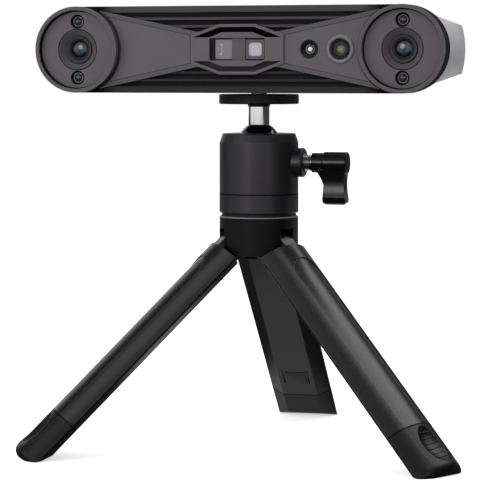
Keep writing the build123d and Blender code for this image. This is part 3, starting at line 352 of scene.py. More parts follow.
# Satin black: long soft highlights down the legs, and bright painted highlights on the edges.
leg_black = moulded("etched_black_nylon", "#0e0d0e", 0.3, 1.0, 0.015, 0.5, 24.0)
# The same black, duller where it is handled and stands on the floor.
foot_black = moulded("worn_black_nylon", "#0d0c0d", 0.38, 1.0, 0.015, 0.3, 24.0)
# The dullest black of the tripod.
hub_black = moulded("matt_black_nylon", "#0c0b0c", 0.45, 1.0, 0.1, 0.2, 12.0)
# Smooth black with sharper highlights.
knob_black = moulded("polished_black_knob", "#0a090a", 0.17, 1.4, 0.02, 0.42, 6.0)
# The depth of a gap, without any shine.
seam_black = moulded("shadowed_joint_black", "#030303", 0.8, 1.0, 0.05, 0.1, 1.0)
# Glossy green lacquer over copper.
board_green = moulded("green_solder_mask", "#1f4a2a", 0.35, 1.2, 0.05)
print("plastics", [m.name for m in bpy.data.materials if m is not paper])

# %% [markdown]
# Some mouldings carry a second colour. A paint goes on where all its steps are full. A step is a value and
# the two places between which it rises, so a step whose second place is the smaller one covers the other
# side. The values are worked out in millimetres from the middle of the scanner's front: sideways, backwards
# and upwards.

# %% How a masked paint goes on
SCANNER_MIDDLE = Vector((-1.5, -34.0, 186.4)) * MM


def scanner_axes(tree):
    """Place from the middle of the front, in millimetres. Aside is the distance to either side."""
    place = add(tree, "TexCoord").outputs["Object"]
    moved = add(tree, "VectorMath", {0: place, 1: SCANNER_MIDDLE}, operation="SUBTRACT").outputs[0]
    sized = add(tree, "VectorMath", {0: moved, "Scale": 1 / MM}, operation="SCALE").outputs[0]
    axes = add(tree, "SeparateXYZ", {"Vector": sized})
    aside = add(tree, "Math", {0: axes.outputs["X"]}, operation="ABSOLUTE").outputs[0]
    return {"x": axes.outputs["X"], "aside": aside, "depth": axes.outputs["Y"], "height": axes.outputs["Z"]}


def around(tree, at, x, z):
    """Distance in millimetres from the points at x to either side, and at z above or below the axis."""
    level = add(tree, "Math", {0: at["height"]}, operation="ABSOLUTE").outputs[0]
    point = add(tree, "CombineXYZ", {"X": at["aside"], "Y": level}).outputs[0]
    return add(tree, "VectorMath", {0: point, 1: (x, z, 0)}, operation="DISTANCE").outputs["Value"]


def paint(material, code, *steps, roughness=0.9):
    """Lay a colour, with its own roughness, over a finish where every step is full."""
    tree = material.node_tree
    shader = tree.nodes["Principled BSDF"]
    cover = 1.0
    for value, start, full in steps:
        step = add(tree, "MapRange", {"Value": value, "From Min": start, "From Max": full})
        cover = add(tree, "Math", {0: cover, 1: step.outputs["Result"]}, operation="MULTIPLY").outputs[0]
    under = shader.inputs["Base Color"].links[0].from_socket
    over = add(tree, "Mix", {0: cover, 6: under, 7: colour(code)}, data_type="RGBA")
    tree.links.new(over.outputs[2], shader.inputs["Base Color"])
    below = shader.inputs["Roughness"].links[0].from_socket
    above = add(tree, "Mix", {0: cover, 2: below, 3: roughness}, data_type="FLOAT")
    tree.links.new(above.outputs[0], shader.inputs["Roughness"])


print("middle of the scanner's front", [round(v, 4) for v in SCANNER_MIDDLE])

# %% [markdown]
# Some mouldings carry painted shade and light. On the front casing the two rings stay grey, painted shade
# darkens its ribs, more on the lower ribs and in the grooves, and blackens its sides behind the rings.
# Painted shade darkens the rims of the discs, a line round each lens, the wells of the lights and the
# pockets of the bezel, which are black in their upper half. A grey strip runs down the black plate in the
# window. The hub's upper edge gets a painted highlight, a light line.

# %% Masked paints
CAN_X = 76.7
LIGHT_Z = 12.9
# Grey rings, with painted shade: darker ribs, darker still low down and in the grooves, black sides behind the
# rings.
casing_grey = moulded("casing_grey_with_painted_shade", "#5d595c", 0.5, 0.9, 0.12, 0.2, 2.2)
at = scanner_axes(casing_grey.node_tree)
behind_rim = (at["depth"], 2.9, 3.1)
# Painted shade darkens the ribs behind the rings.
paint(casing_grey, "#474447", behind_rim, roughness=0.5)
# Painted shade darkens the lower ribs more.
paint(casing_grey, "#2c2a2c", behind_rim, (at["height"], -3.0, -9.0), roughness=0.5)
# Painted shade in the grooves between the ribs.
paint(casing_grey, "#242224", (at["depth"], 4.7, 5.9))
# Painted shade, black, on the sides behind the rings.
paint(casing_grey, "#0b0a0b", (at["depth"], 1.0, 1.2), (at["aside"], 58.0, 66.0))
# Grey discs, with painted shade at their rims, in a line round the lens and in the lamp wells, to look deep.
disc_grey = moulded("etched_disc_grey", "#625d61", 0.5, 0.9, 0.12, 0.25, 2.0)
at = scanner_axes(disc_grey.node_tree)
from_camera = around(disc_grey.node_tree, at, CAN_X, 0.0)
from_light = around(disc_grey.node_tree, at, CAN_X, LIGHT_Z)
# Painted shade round the rim of the disc.
paint(disc_grey, "#0a090a", (from_camera, 17.4, 17.6))
# Painted shade in a line round the lens opening.
paint(disc_grey, "#1a181a", (from_camera, 9.65, 9.45))
# Painted shade, black, in the lamp wells.
paint(disc_grey, "#0a090a", (from_light, 3.4, 3.2))
# Grey face whose pocket is painted with shade, dark below and black above.
pocket_grey = moulded("face_grey_with_painted_pocket_shade", "#605b5f", 0.5, 0.9, 0.12, 0.1, 2.2)
at = scanner_axes(pocket_grey.node_tree)
pocket = [(at["depth"], 4.2, 4.4), (at["aside"], 21.7, 21.3)]
paint(pocket_grey, "#3a373b", *pocket)
paint(pocket_grey, "#030303", *pocket, (at["height"], 1.9, 2.1))
# Black plate with a grey strip down its middle.
strip_grey = moulded("grey_strip_on_black_plate", "#0c0b0c", 0.5, 0.9, 0.12, 0.2, 2.0)
at = scanner_axes(strip_grey.node_tree)
paint(strip_grey, "#5e5a5d", (at["x"], -2.5, -2.3), (at["x"], 3.9, 3.7), roughness=0.5)
# A light line painted on the hub's upper edge as a highlight.
hub_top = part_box("hub")[1][2]
hub_place = add(hub_black.node_tree, "TexCoord").outputs["Object"]
hub_height = add(hub_black.node_tree, "SeparateXYZ", {"Vector": hub_place}).outputs["Z"]
paint(hub_black, "#7a787a", (hub_height, hub_top - 0.75 * MM, hub_top - 0.45 * MM), roughness=0.4)
print("paints on", [m.name for m in (casing_grey, disc_grey, pocket_grey, strip_grey, hub_black)])

# %% [markdown]
# The ball head is turned aluminium, anodised black. The lathe leaves fine rings, which draw its highlights
# out along the upright axis. The stem is chromed, the ball has a black chrome, and the screws are plain
# plated steel. One recipe draws the rings as a noise along that axis, and the same bevel node finds the
# edges for a painted highlight.

# %% How turned metal is made
RING_DEPTH = 0.03
RING_SPREAD = 0.15


def turned(name, code, roughness, ring, relief, metallic, gloss=0.5, edge_highlight=1.0):
    """Lathe-turned metal with rings round the upright axis, this many millimetres apart.

    Real rings are about 0.1 mm apart. They are drawn coarser, so that they show.
    """
    material, tree, shader, place = begin(name)
    normal, edge = edges_of(tree)
    height = add(tree, "SeparateXYZ", {"Vector": place}).outputs["Z"]
    lines = add(tree, "TexNoise", {"W": height, "Scale": 1 / (ring * MM), "Detail": 2.0},
                noise_dimensions="1D")
    smooth = roughness * (1 - RING_SPREAD)
    coarse = roughness * (1 + RING_SPREAD)
    rough = add(tree, "MapRange", {"Value": lines.outputs["Fac"], "From Min": 0.3, "From Max": 0.7,
                                   "To Min": smooth, "To Max": coarse})
    dents = add(tree, "Bump", {"Height": lines.outputs["Fac"], "Strength": relief,
                               "Distance": RING_DEPTH * MM, "Normal": normal})
    # The edges get a lighter tint, a painted highlight.
    highlit_edges = add(tree, "Mix", {0: edge, 6: colour(code), 7: colour(code, edge_highlight)}, data_type="RGBA")
    tree.links.new(highlit_edges.outputs[2], shader.inputs["Base Color"])
    tree.links.new(rough.outputs["Result"], shader.inputs["Roughness"])
    tree.links.new(dents.outputs["Normal"], shader.inputs["Normal"])
    shader.inputs["Metallic"].default_value = metallic
    shader.inputs["Specular IOR Level"].default_value = gloss
    return material


print("rings", RING_DEPTH, "mm deep")

# %% [markdown]
# The recipe gives every metal of the ball head, the screws and the legs' bars. The housing and its base
# meet in a thin dark joint, which is painted on both of them, at the housing's lower edge.

# %% Turned metals
# After the colour: roughness, the rings' spacing, their relief, how metallic it is, gloss and painted edge
# highlight.
# Dark metal: a broad band of light down its front, and a black shadow side.
anodised_black = turned("black_anodised_aluminium", "#454346", 0.38, 0.9, 0.08, 0.85, 0.5, 3.0)
# A duller, darker anodising, with a pale painted highlight on its rim.
plate_black = turned("black_anodised_plate", "#141314", 0.5, 0.9, 0.1, 0.0, 0.3, 5.0)
# A mirror that shows the white panel as a hard bright band.
chrome = turned("chromed_steel", "#dcdcde", 0.05, 1.5, 0.0, 1.0)
# A dark mirror that shows the room dimly.
ball_black = turned("black_chromed_ball", "#66666a", 0.1, 1.5, 0.0, 1.0)
# Bright metal, blurred by turning.
steel = turned("bright_steel", "#b9b7b4", 0.25, 0.8, 0.1, 1.0)
# Paler and duller than steel.
alloy = turned("turned_aluminium", "#bdbcbf", 0.3, 0.8, 0.1, 1.0)
# Smooth plated steel, so that only the thread breaks its shine.
screw_steel = turned("plated_steel_screw", "#b4b2b0", 0.25, 0.8, 0.0, 1.0)
# Warm yellow metal.
brass = turned("turned_brass", "#c9a557", 0.3, 0.8, 0.1, 1.0)
tree = anodised_black.node_tree
place = add(tree, "TexCoord").outputs["Object"]
height = add(tree, "SeparateXYZ", {"Vector": place}).outputs["Z"]
from_joint = add(tree, "Math", {0: height, 1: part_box("head_housing")[0][2]}, operation="SUBTRACT").outputs[0]
apart = add(tree, "Math", {0: from_joint}, operation="ABSOLUTE").outputs[0]
paint(anodised_black, "#020202", (apart, 0.35 * MM, 0.2 * MM))
print("metals", [m.name for m in (anodised_black, plate_black, chrome, ball_black, steel, alloy, brass)])

# %% [markdown]
# The lenses are ground glass with a thin coating that throws back one colour, over a black barrel. The eye
# sees a dark pupil in the middle, a coloured zone round it and a black rim. The zones are painted by the
# distance from the lens's own axis, so the coloured zone is a painted reflection of the coating, and a
# clear coat gives the hard shine of polished glass.

# %% How coated glass is made
COATING_PATCH = 1.2
PATCH_STRENGTH = 0.35


def coated(name, x, zones, roughness=0.06, z=0.0):
    """Glass with zones round its own axis, given as pairs of a radius in millimetres and a colour."""
    material, tree, shader, place = begin(name)
    rim = zones[-1][0]
    radius = around(tree, scanner_axes(tree), x, z)
    share = add(tree, "MapRange", {"Value": radius, "From Min": 0.0, "From Max": rim}).outputs["Result"]
    ramp = add(tree, "ValToRGB", {"Fac": share})
    for zone in zones[1:-1]:
        ramp.color_ramp.elements.new(zone[0] / rim)
    for stop, zone in zip(ramp.color_ramp.elements, zones):
        stop.color = colour(zone[1])
    cloud = add(tree, "TexNoise", {"Vector": place, "Scale": 1 / (COATING_PATCH * MM), "Detail": 2.0})
    thin = add(tree, "MapRange", {"Value": cloud.outputs["Fac"], "To Max": PATCH_STRENGTH})
    patchy = add(tree, "Mix", {0: thin.outputs["Result"], 6: ramp.outputs["Color"], 7: colour(zones[0][1])},
                 data_type="RGBA")
    tree.links.new(patchy.outputs[2], shader.inputs["Base Color"])
    shader.inputs["Roughness"].default_value = roughness
    shader.inputs["Coat Weight"].default_value = 0.4
    shader.inputs["Coat Roughness"].default_value = 0.03
    return material


print("coating patches of", COATING_PATCH, "mm")

# %% [markdown]
# The two stereo cameras have a blue coating and the colour camera a green one. The laser looks out through
# a grey filter, and the projector through a pearly pane. The small lamps are clear plastic over a dark
# reflector, and the flash is a white phosphor.

# %% Coated glass and lamps
COLOUR_X = 48.0
FLASH_X = 33.7
LASER_X = 6.5
PATTERN_X = 8.3
CAMERA_ZONES = [(0, "#05080e"), (0.9, "#10223a"), (1.8, "#305578"), (2.5, "#1b2c40"), (3.2, "#07090d"),
                (3.95, "#030304")]
COLOUR_ZONES = [(0, "#93b355"), (0.7, "#4a6a24"), (1.3, "#16220c"), (2.0, "#050605")]
LASER_ZONES = [(0, "#747073"), (3.0, "#777377"), (6.0, "#716c70")]
PATTERN_ZONES = [(0, "#b9b3be"), (1.8, "#c3b6c0"), (3.0, "#aeb0bd"), (4.5, "#bcb4bc")]
LAMP_ZONES = [(0, "#5a585a"), (0.5, "#343234"), (1.0, "#161516"), (1.45, "#1c1a1c"), (1.75, "#4c4a4c")]
FLASH_ZONES = [(0, "#f4f2ec"), (0.7, "#ffffff"), (1.2, "#c9c6c0")]
# A dark pupil in a blue ring, a painted reflection of the coating, with a hard glint.
camera_glass = coated("blue_coated_lens", CAN_X, CAMERA_ZONES)
# A painted green glint, brightest in the middle, at the bottom of a black tube.
colour_glass = coated("green_coated_lens", COLOUR_X, COLOUR_ZONES)
# A flat grey pane with hardly any shine.
laser_glass = coated("grey_filter_pane", LASER_X, LASER_ZONES, 0.35)
# A pale pane that turns a little pink and blue.
pattern_glass = coated("pearl_coated_pane", PATTERN_X, PATTERN_ZONES, 0.25)
# A shiny dome, dark inside, with painted highlights in the middle and at its rim.
lamp_clear = coated("clear_lamp_plastic", CAN_X, LAMP_ZONES, 0.08, LIGHT_Z)
# A small white dot that draws the eye. The same white paints the glints of the laser optics.
phosphor_and_glint_white = coated("white_phosphor_and_painted_glints", FLASH_X, FLASH_ZONES, 0.2)
glasses = (camera_glass, colour_glass, laser_glass, pattern_glass, lamp_clear, phosphor_and_glint_white)
print("glass", [m.name for m in glasses])

# %% [markdown]
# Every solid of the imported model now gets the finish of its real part. A table keeps the finishes in one
# place, and the print shows that no solid was forgotten.

# %% Give every solid its finish
SIDES = ("right", "left", "rear")
finishes = {
    face_grey: ["left_face_panel", "right_face_panel", "projector_bezel"],
    pocket_grey: ["face_frame"],
    disc_grey: ["left_end_disc", "right_end_disc"],
    casing_grey: ["front_casing"],
    shell_silver: ["rear_shell"],
    ring_silver: ["colour_camera_ring"],
    cone_grey: ["left_lens_cone", "right_lens_cone"],
    frame_grey: ["projector_frame"],
    strip_grey: ["window_plate"],
    optics_black: ["left_camera_barrel", "right_camera_barrel", "colour_camera_barrel", "scan_button",
                   "scan_switch", "laser_module", "pattern_projector", "flash_cup"],
    camera_glass: ["left_camera_lens", "right_camera_lens"],
    colour_glass: ["colour_camera_lens"],
    laser_glass: ["laser_pane"],
    pattern_glass: ["projector_lens"],
    lamp_clear: ["fill_lights", "status_light"],
    phosphor_and_glint_white: ["flash_led"],
    alloy: ["optics_frame"] + [f"{side}_extension_bar" for side in SIDES],
    board_green: ["left_camera_board", "right_camera_board", "main_board"],
    steel: ["usb_socket", "casing_screws", "mount_screw", "hub_stud", "leg_pins", "lock_screw"],
    brass: ["tripod_socket", "ball_seat", "lock_plug"],
    chrome: ["ball_stem"],
    ball_black: ["ball"],
    anodised_black: ["head_housing", "head_base", "lock_bush"],
    plate_black: ["top_plate", "hub_washer"],
    knob_black: ["lock_knob"],
    hub_black: ["hub"],
    leg_black: [f"{side}_leg_shell" for side in SIDES],
    foot_black: [f"{side}_foot" for side in SIDES],
}
for material, names in finishes.items():
    for name in names:
        node[name].data.materials.clear()
        node[name].data.materials.append(material)
bare = sorted(set(node) - {name for names in finishes.values() for name in names})
print("without a finish", bare)

# %% [markdown]
# The solids leave out the small turned and moulded forms that a hand would find on the real scanner. Most
# of them are round, so one helper spins an outline about the axis that runs back from the scanner's front.
# A second one merges the doubles, turns the faces outwards and lets the piece ride on its body. The third
# makes a block with rounded edges.

# %% Helpers for the small pieces
MERGE_DISTANCE = 0.002


def spun(shape, middle, outline, steps=64, turn=360.0, first=0.0, closed=True):
    """Spin an outline of radius and depth, in millimetres, about the axis that runs back from a point."""
    corners = [shape.verts.new(middle + Vector((radius, depth, 0)) * MM) for radius, depth in outline]
    pairs = list(zip(corners, corners[1:] + corners[:1]))
    edges = [shape.edges.new(pair) for pair in (pairs if closed else pairs[:-1])]
    bmesh.ops.rotate(shape, verts=corners, cent=middle, matrix=Matrix.Rotation(radians(first), 3, "Y"))
    bmesh.ops.spin(shape, geom=corners + edges, cent=middle, axis=(0, 1, 0), angle=radians(turn), steps=steps,
                   use_merge=turn == 360.0)


def made(name, shape, material, body, crease=35.0):
    """Make a bmesh a finished piece that rides on a body."""
    bmesh.ops.remove_doubles(shape, verts=shape.verts, dist=MERGE_DISTANCE * MM)
    bmesh.ops.holes_fill(shape, edges=shape.edges, sides=0)
    bmesh.ops.recalc_face_normals(shape, faces=shape.faces)
    mesh = bpy.data.meshes.new(name)
    shape.to_mesh(mesh)
    shape.free()
    mesh.shade_smooth()
    mesh.set_sharp_from_angle(angle=radians(crease))
    mesh.materials.append(material)
    piece = bpy.data.objects.new(name, mesh)
    bpy.context.scene.collection.objects.link(piece)
    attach(piece, body)
    print(name, "faces", len(mesh.polygons))
    return piece


def block(shape, middle, size, round_edge):
    """A block with rounded edges."""
    place = Matrix.Translation(middle) @ Matrix.Diagonal((*size, 1))
    corners = bmesh.ops.create_cube(shape, size=1.0, matrix=place)["verts"]
    edges = list({edge for vert in corners for edge in vert.link_edges})
    bmesh.ops.bevel(shape, geom=edges, offset=round_edge, offset_type="OFFSET", affect="EDGES", segments=2,
                    profile=0.5, material=-1)


print("points nearer than", MERGE_DISTANCE, "mm are merged")

# %% [markdown]
# Each stereo camera looks out through a funnel of stepped rings, which keep stray light off the lens.
# Behind the grey cone sits a turned hood, then a thin black retaining ring, then the domed front glass. All
# three are spun outlines. The glass takes the place of the solid lens, because a fine dome bends its
# reflections smoothly.

# %% Lens hoods, retaining rings and front glass
HOOD_OUTLINE = [(6.25, 5.25), (6.25, 4.45), (6.0, 4.3), (5.7, 4.35), (4.8, 4.95), (4.8, 5.25)]
RETAINER_OUTLINE = [(4.75, 5.25), (4.75, 4.95), (4.5, 4.8), (4.15, 5.0), (3.75, 5.25), (3.7, 5.6),
                    (3.95, 5.6), (4.05, 5.25)]
GLASS_RADIUS = 3.95
GLASS_EDGE = 6.0
GLASS_BACK = 6.8
GLASS_CROWN = 0.5
shares = [step / 10 for step in range(11)]
front = [(GLASS_RADIUS * share, GLASS_EDGE - GLASS_CROWN * (1 - share**2)) for share in shares]
GLASS_OUTLINE = front + [(GLASS_RADIUS, GLASS_BACK), (0, GLASS_BACK)]
for side, x in (("left", -CAN_X), ("right", CAN_X)):
    axis = SCANNER_MIDDLE + Vector((x, 0, 0)) * MM
    shape = bmesh.new()
    spun(shape, axis, HOOD_OUTLINE)
    made(f"{side}_lens_hood", shape, hood_grey, "scanner")
    shape = bmesh.new()
    spun(shape, axis, RETAINER_OUTLINE)
    made(f"{side}_lens_retainer", shape, optics_black, "scanner")
    shape = bmesh.new()
    spun(shape, axis, GLASS_OUTLINE, closed=False)
    glass = made(f"{side}_front_glass", shape, camera_glass, "scanner")
    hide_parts(f"{side}_camera_lens")

# %% [markdown]
# Above and below each camera a small lamp fills in light. Its clear dome stands in a well that is painted
# black on the disc as shade, with a bright collar round it. The dome and its collar are spun too, and the
# domes take the place of the solid ones.

# %% Fill lights
DOME_RADIUS = 1.75
DOME_HEIGHT = 1.0
DOME_BACK = 2.5
COLLAR_OUTLINE = [(2.4, 1.6), (2.4, 0.75), (2.2, 0.6), (1.95, 0.7), (1.85, 1.6)]
dome_front = (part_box("fill_lights")[0][1] - SCANNER_MIDDLE.y) / MM
turns = [pi / 2 * step / 8 for step in range(9)]
arc = [(DOME_RADIUS * sin(turn), DOME_HEIGHT * (1 - cos(turn))) for turn in turns]
domes = bmesh.new()
collars = bmesh.new()
for x in (-CAN_X, CAN_X):
    for z in (-LIGHT_Z, LIGHT_Z):
        axis = SCANNER_MIDDLE + Vector((x, dome_front, z)) * MM
        spun(domes, axis, arc + [(DOME_RADIUS, DOME_BACK), (0, DOME_BACK)], 32, closed=False)
        spun(collars, axis, COLLAR_OUTLINE, 40)
lamps = made("fill_light_domes", domes, lamp_clear, "scanner")
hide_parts("fill_lights")
made("fill_light_collars", collars, ring_silver, "scanner")

# %% [markdown]
# The colour camera sits deeper, behind a black retaining ring that is cut into six lugs for the assembly
# tool. A part turn of the same outline makes one lug, and its open ends are filled. A grey step inside the
# ring holds the lens.

# %% Lugs of the colour camera's retaining ring
LUG_OUTLINE = [(4.6, 5.35), (4.6, 4.35), (4.4, 4.2), (3.9, 4.2), (3.7, 4.4), (3.7, 5.35)]
LUG_COUNT = 6
LUG_TURN = 42.0
STEP_OUTLINE = [(2.95, 4.55), (2.95, 4.35), (2.7, 4.25), (2.3, 4.4), (2.05, 4.75), (2.3, 4.75)]
axis = SCANNER_MIDDLE + Vector((COLOUR_X, 0, 0)) * MM
shape = bmesh.new()
for lug in range(LUG_COUNT):
    spun(shape, axis, LUG_OUTLINE, 8, LUG_TURN, 360.0 / LUG_COUNT * lug - LUG_TURN / 2)
made("colour_camera_lugs", shape, optics_black, "scanner")
shape = bmesh.new()
spun(shape, axis, STEP_OUTLINE)
made("colour_lens_step", shape, hood_grey, "scanner")

# %% [markdown]
# A narrow black crescent lies in the joint between each round can and the face beside it, as painted
# shade. It runs round the side of the can that faces the middle, so it is a part turn too.

# %% Painted shade beside the cans
CAN_SHADE_OUTLINE = [(19.85, 3.65), (19.85, 3.3), (20.4, 3.35), (20.8, 3.52), (20.9, 3.65)]
CAN_SHADE_TURN = 114.0
for side, x, facing in (("left", -CAN_X, 0.0), ("right", CAN_X, 180.0)):
    shape = bmesh.new()
    spun(shape, SCANNER_MIDDLE + Vector((x, 0, 0)) * MM, CAN_SHADE_OUTLINE, 48, CAN_SHADE_TURN, facing - CAN_SHADE_TURN / 2)
    made(f"{side}_can_shade", shape, optics_black, "scanner")

# %% [markdown]
# The lock knob's screw is threaded, and a few turns of it show between the flange and the knob. The core is
# a spun outline about the screw's own axis. The thread is one small ridge, spun with a step forward each
# time, as a lathe cuts it. The pair takes the place of the solid screw and turns with the knob.

# %% Threaded lock screw
THREAD_PITCH = 1.25
THREAD_TURNS = 5.7
THREAD_LEAD = 6.6
THREAD_STEPS = 32
THREAD_CREST = 3.85
CORE_RADIUS = 3.2
RIDGE_FOOT = CORE_RADIUS - 0.1
STUB_RADIUS = 2.45
SCREW_SHOULDER = 26.0
screw_low, screw_high = (Vector(corner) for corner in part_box("lock_screw"))
axis = Vector((0, (screw_low.y + screw_high.y) / 2, (screw_low.z + screw_high.z) / 2))
inner_end = screw_low.x / MM
outer_end = screw_high.x / MM
core = [(inner_end, 0), (inner_end, CORE_RADIUS), (SCREW_SHOULDER, CORE_RADIUS),
        (SCREW_SHOULDER, STUB_RADIUS), (outer_end, STUB_RADIUS), (outer_end, 0)]
shape = bmesh.new()
corners = [shape.verts.new(axis + Vector((along, 0, radius)) * MM) for along, radius in core]
edges = [shape.edges.new(pair) for pair in zip(corners, corners[1:])]
bmesh.ops.spin(shape, geom=corners + edges, cent=axis, axis=(1, 0, 0), angle=2 * pi, steps=48, use_merge=True)
start = SCREW_SHOULDER - THREAD_LEAD * THREAD_PITCH
ridge = [(0, RIDGE_FOOT), (0.42, THREAD_CREST), (0.62, THREAD_CREST), (1.04, RIDGE_FOOT)]
corners = [shape.verts.new(axis + Vector((start + along, 0, radius)) * MM) for along, radius in ridge]
edges = [shape.edges.new(pair) for pair in zip(corners, corners[1:] + corners[:1])]
bmesh.ops.spin(shape, geom=corners + edges, cent=axis, axis=(1, 0, 0), angle=THREAD_TURNS * 2 * pi,
               dvec=(THREAD_PITCH * MM / THREAD_STEPS, 0, 0), steps=int(THREAD_TURNS * THREAD_STEPS))
screw = made("lock_screw_thread", shape, screw_steel, "lock_handle")
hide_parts("lock_screw")

# %% [markdown]
# Each leg is made closed, hanging from its pin, and then swings open. The same turn carries the small
# pieces of the legs to their places. The latch that holds the pulled-out foot is a springy tongue with a
# pad for the fingertip: a block whose lower end stands proud, with rounded edges. Two dark bars above and
# below it are painted shade, in the gap at its top and under its proud lower end.

# %% Latch pads on the legs
LEG_AZIMUTHS = {"right": -27.6, "left": 212.4, "rear": 92.4}
LEG_OPEN_ANGLE = 45.6
PIN_HEIGHT = 97.2
LEG_PIN = Vector((11.0, 0.0, PIN_HEIGHT)) * MM
INNER_FLAT = 5.4
PAD_SIZE = Vector((2.2, 10.4, 7.6)) * MM
PAD_X = 5.5
PAD_ALONG = 100.6
PAD_SLOPE = 0.95
PAD_ROUND = 0.3
SHADE_BAR_DEPTH = 0.1
SHADE_BAR_WIDTH = 10.9
SHADE_BAR_ROUND = 0.02
SHADE_BARS = [(0.4, 4.1), (0.9, -4.3)]


def opened(side):
    """The turn from a leg's closed place to its open place in the world."""
    swing = Matrix.Translation(LEG_PIN) @ Matrix.Rotation(radians(-LEG_OPEN_ANGLE), 4, "Y")
    return Matrix.Rotation(radians(LEG_AZIMUTHS[side]), 4, "Z") @ swing @ Matrix.Translation(-LEG_PIN)


pad_height = PIN_HEIGHT - PAD_ALONG
for side in LEG_AZIMUTHS:
    shape = bmesh.new()
    bmesh.ops.create_cube(shape, size=1.0)
    bmesh.ops.scale(shape, vec=PAD_SIZE, verts=shape.verts)
    high_edge = [vert for vert in shape.verts if vert.co.x < 0 and vert.co.z > 0]
    bmesh.ops.translate(shape, verts=high_edge, vec=(PAD_SLOPE * MM, 0, 0))
    bmesh.ops.bevel(shape, geom=shape.edges[:], offset=PAD_ROUND * MM, offset_type="OFFSET", affect="EDGES",
                    segments=3, profile=0.5, material=-1)
    bmesh.ops.translate(shape, verts=shape.verts, vec=Vector((PAD_X, 0, pad_height)) * MM)
    bmesh.ops.transform(shape, matrix=opened(side), verts=shape.verts)
    made(f"{side}_latch_pad", shape, leg_black, f"{side}_leg")
    # Dark bars as painted shade above the pad and under its proud lower end.
    shape = bmesh.new()
    for high, above in SHADE_BARS:
        middle = Vector((INNER_FLAT, 0, pad_height + above)) * MM
        block(shape, middle, Vector((SHADE_BAR_DEPTH, SHADE_BAR_WIDTH, high)) * MM, SHADE_BAR_ROUND * MM)
    bmesh.ops.transform(shape, matrix=opened(side), verts=shape.verts)
    made(f"{side}_latch_shade", shape, seam_black, f"{side}_leg")

# %% [markdown]
# The thumb hollow in each foot has fine cross ribs for grip. The hollow is part of a spindle, so each rib
# is a part turn of a small half-round about the spindle's axis, as wide as the hollow is at that place.

# %% Ribs in the thumb hollows
LEG_RADIUS = 18.4
SPINDLE_X = LEG_RADIUS + 6.01
SPINDLE_ARC = 17.70
SPINDLE_SHIFT = 8.09
DISH_ALONG = 125.98
RIB_PLACES = [-7.0, -4.2, -1.4, 1.4, 4.2, 7.0]
RIB_RADIUS = 0.32
RIB_SINK = 0.05
RIB_SHARE = 0.86
turns = [pi * step / 6 for step in range(7)]
for side in LEG_AZIMUTHS:
    shape = bmesh.new()
    for along in RIB_PLACES:
        radius = sqrt(SPINDLE_ARC**2 - along**2) - SPINDLE_SHIFT
        rim = (LEG_RADIUS**2 - radius**2 + SPINDLE_X**2) / (2 * SPINDLE_X)
        spread = RIB_SHARE * atan2(sqrt(LEG_RADIUS**2 - rim**2), SPINDLE_X - rim)
        middle = Vector((SPINDLE_X, 0, PIN_HEIGHT - DISH_ALONG - along)) * MM
        half_round = [(RIB_RADIUS * sin(turn) - RIB_SINK - radius, RIB_RADIUS * cos(turn)) for turn in turns]
        corners = [shape.verts.new(middle + Vector((inward, 0, up)) * MM) for inward, up in half_round]
        edges = [shape.edges.new(pair) for pair in zip(corners, corners[1:] + corners[:1])]
        bmesh.ops.rotate(shape, verts=corners, cent=middle, matrix=Matrix.Rotation(-spread, 3, "Z"))
        bmesh.ops.spin(shape, geom=corners + edges, cent=middle, axis=(0, 0, 1), angle=2 * spread, steps=16)
    bmesh.ops.transform(shape, matrix=opened(side), verts=shape.verts)
    made(f"{side}_thumb_ribs", shape, foot_black, f"{side}_pull_out_foot")

# %% [markdown]
# The flash lamp shines from a small eight-sided reflector at the bottom of its cup. Spinning an outline in
# only eight steps gives the flat facets.

# %% Flash reflector
FACETS = 8
REFLECTOR_OUTLINE = [(2.2, 6.15), (2.2, 5.25), (2.0, 5.15), (1.35, 6.15)]
shape = bmesh.new()
spun(shape, SCANNER_MIDDLE + Vector((FLASH_X, 0, 0)) * MM, REFLECTOR_OUTLINE, FACETS)
made("flash_reflector", shape, alloy, "scanner", 10.0)

# %% [markdown]
# Through the grey filter pane two tiny laser optics show as glints, with a bent wire between them. The
# pane isn't clear here, so they lie on its face. The wire is a few points whose edges are pushed out to a
# ribbon and given a thickness. The optics are little faceted beads in the flash's white, a painted glint,
# and the wire is drawn in the same white.

# %% Laser optics
WIRE_POINTS = [(-7.6, 2.2), (-7.2, 1.1), (-7.7, 0.1), (-7.25, -1.0), (-7.8, -2.3)]
WIRE_PROUD = 0.02
WIRE_WIDTH = 0.16
WIRE_THICKNESS = 0.06
BEAD_RADIUS = 0.34
BEAD_FLATNESS = 0.3
pane_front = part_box("laser_pane")[0][1]
front = Vector((SCANNER_MIDDLE.x, pane_front - WIRE_PROUD * MM, SCANNER_MIDDLE.z))
shape = bmesh.new()
corners = [shape.verts.new(front + Vector((x, 0, z)) * MM) for x, z in WIRE_POINTS]
edges = [shape.edges.new(pair) for pair in zip(corners, corners[1:])]
pushed = bmesh.ops.extrude_edge_only(shape, edges=edges)["geom"]
moved = [vert for vert in pushed if isinstance(vert, bmesh.types.BMVert)]
bmesh.ops.translate(shape, verts=moved, vec=(WIRE_WIDTH * MM, 0, 0))
bmesh.ops.solidify(shape, geom=shape.faces[:], thickness=WIRE_THICKNESS * MM)
for x, z in (WIRE_POINTS[0], WIRE_POINTS[-1]):
    place = Matrix.Translation(front + Vector((x, 0, z)) * MM) @ Matrix.Diagonal((1, BEAD_FLATNESS, 1, 1))
    bmesh.ops.create_icosphere(shape, subdivisions=1, radius=BEAD_RADIUS * MM, matrix=place)
# The white beads are painted glints.
made("laser_optic_glints", shape, phosphor_and_glint_white, "scanner")

# %% [markdown]
# Under the top plate the bright stem starts in a short black collar, a ring spun about the upright axis.

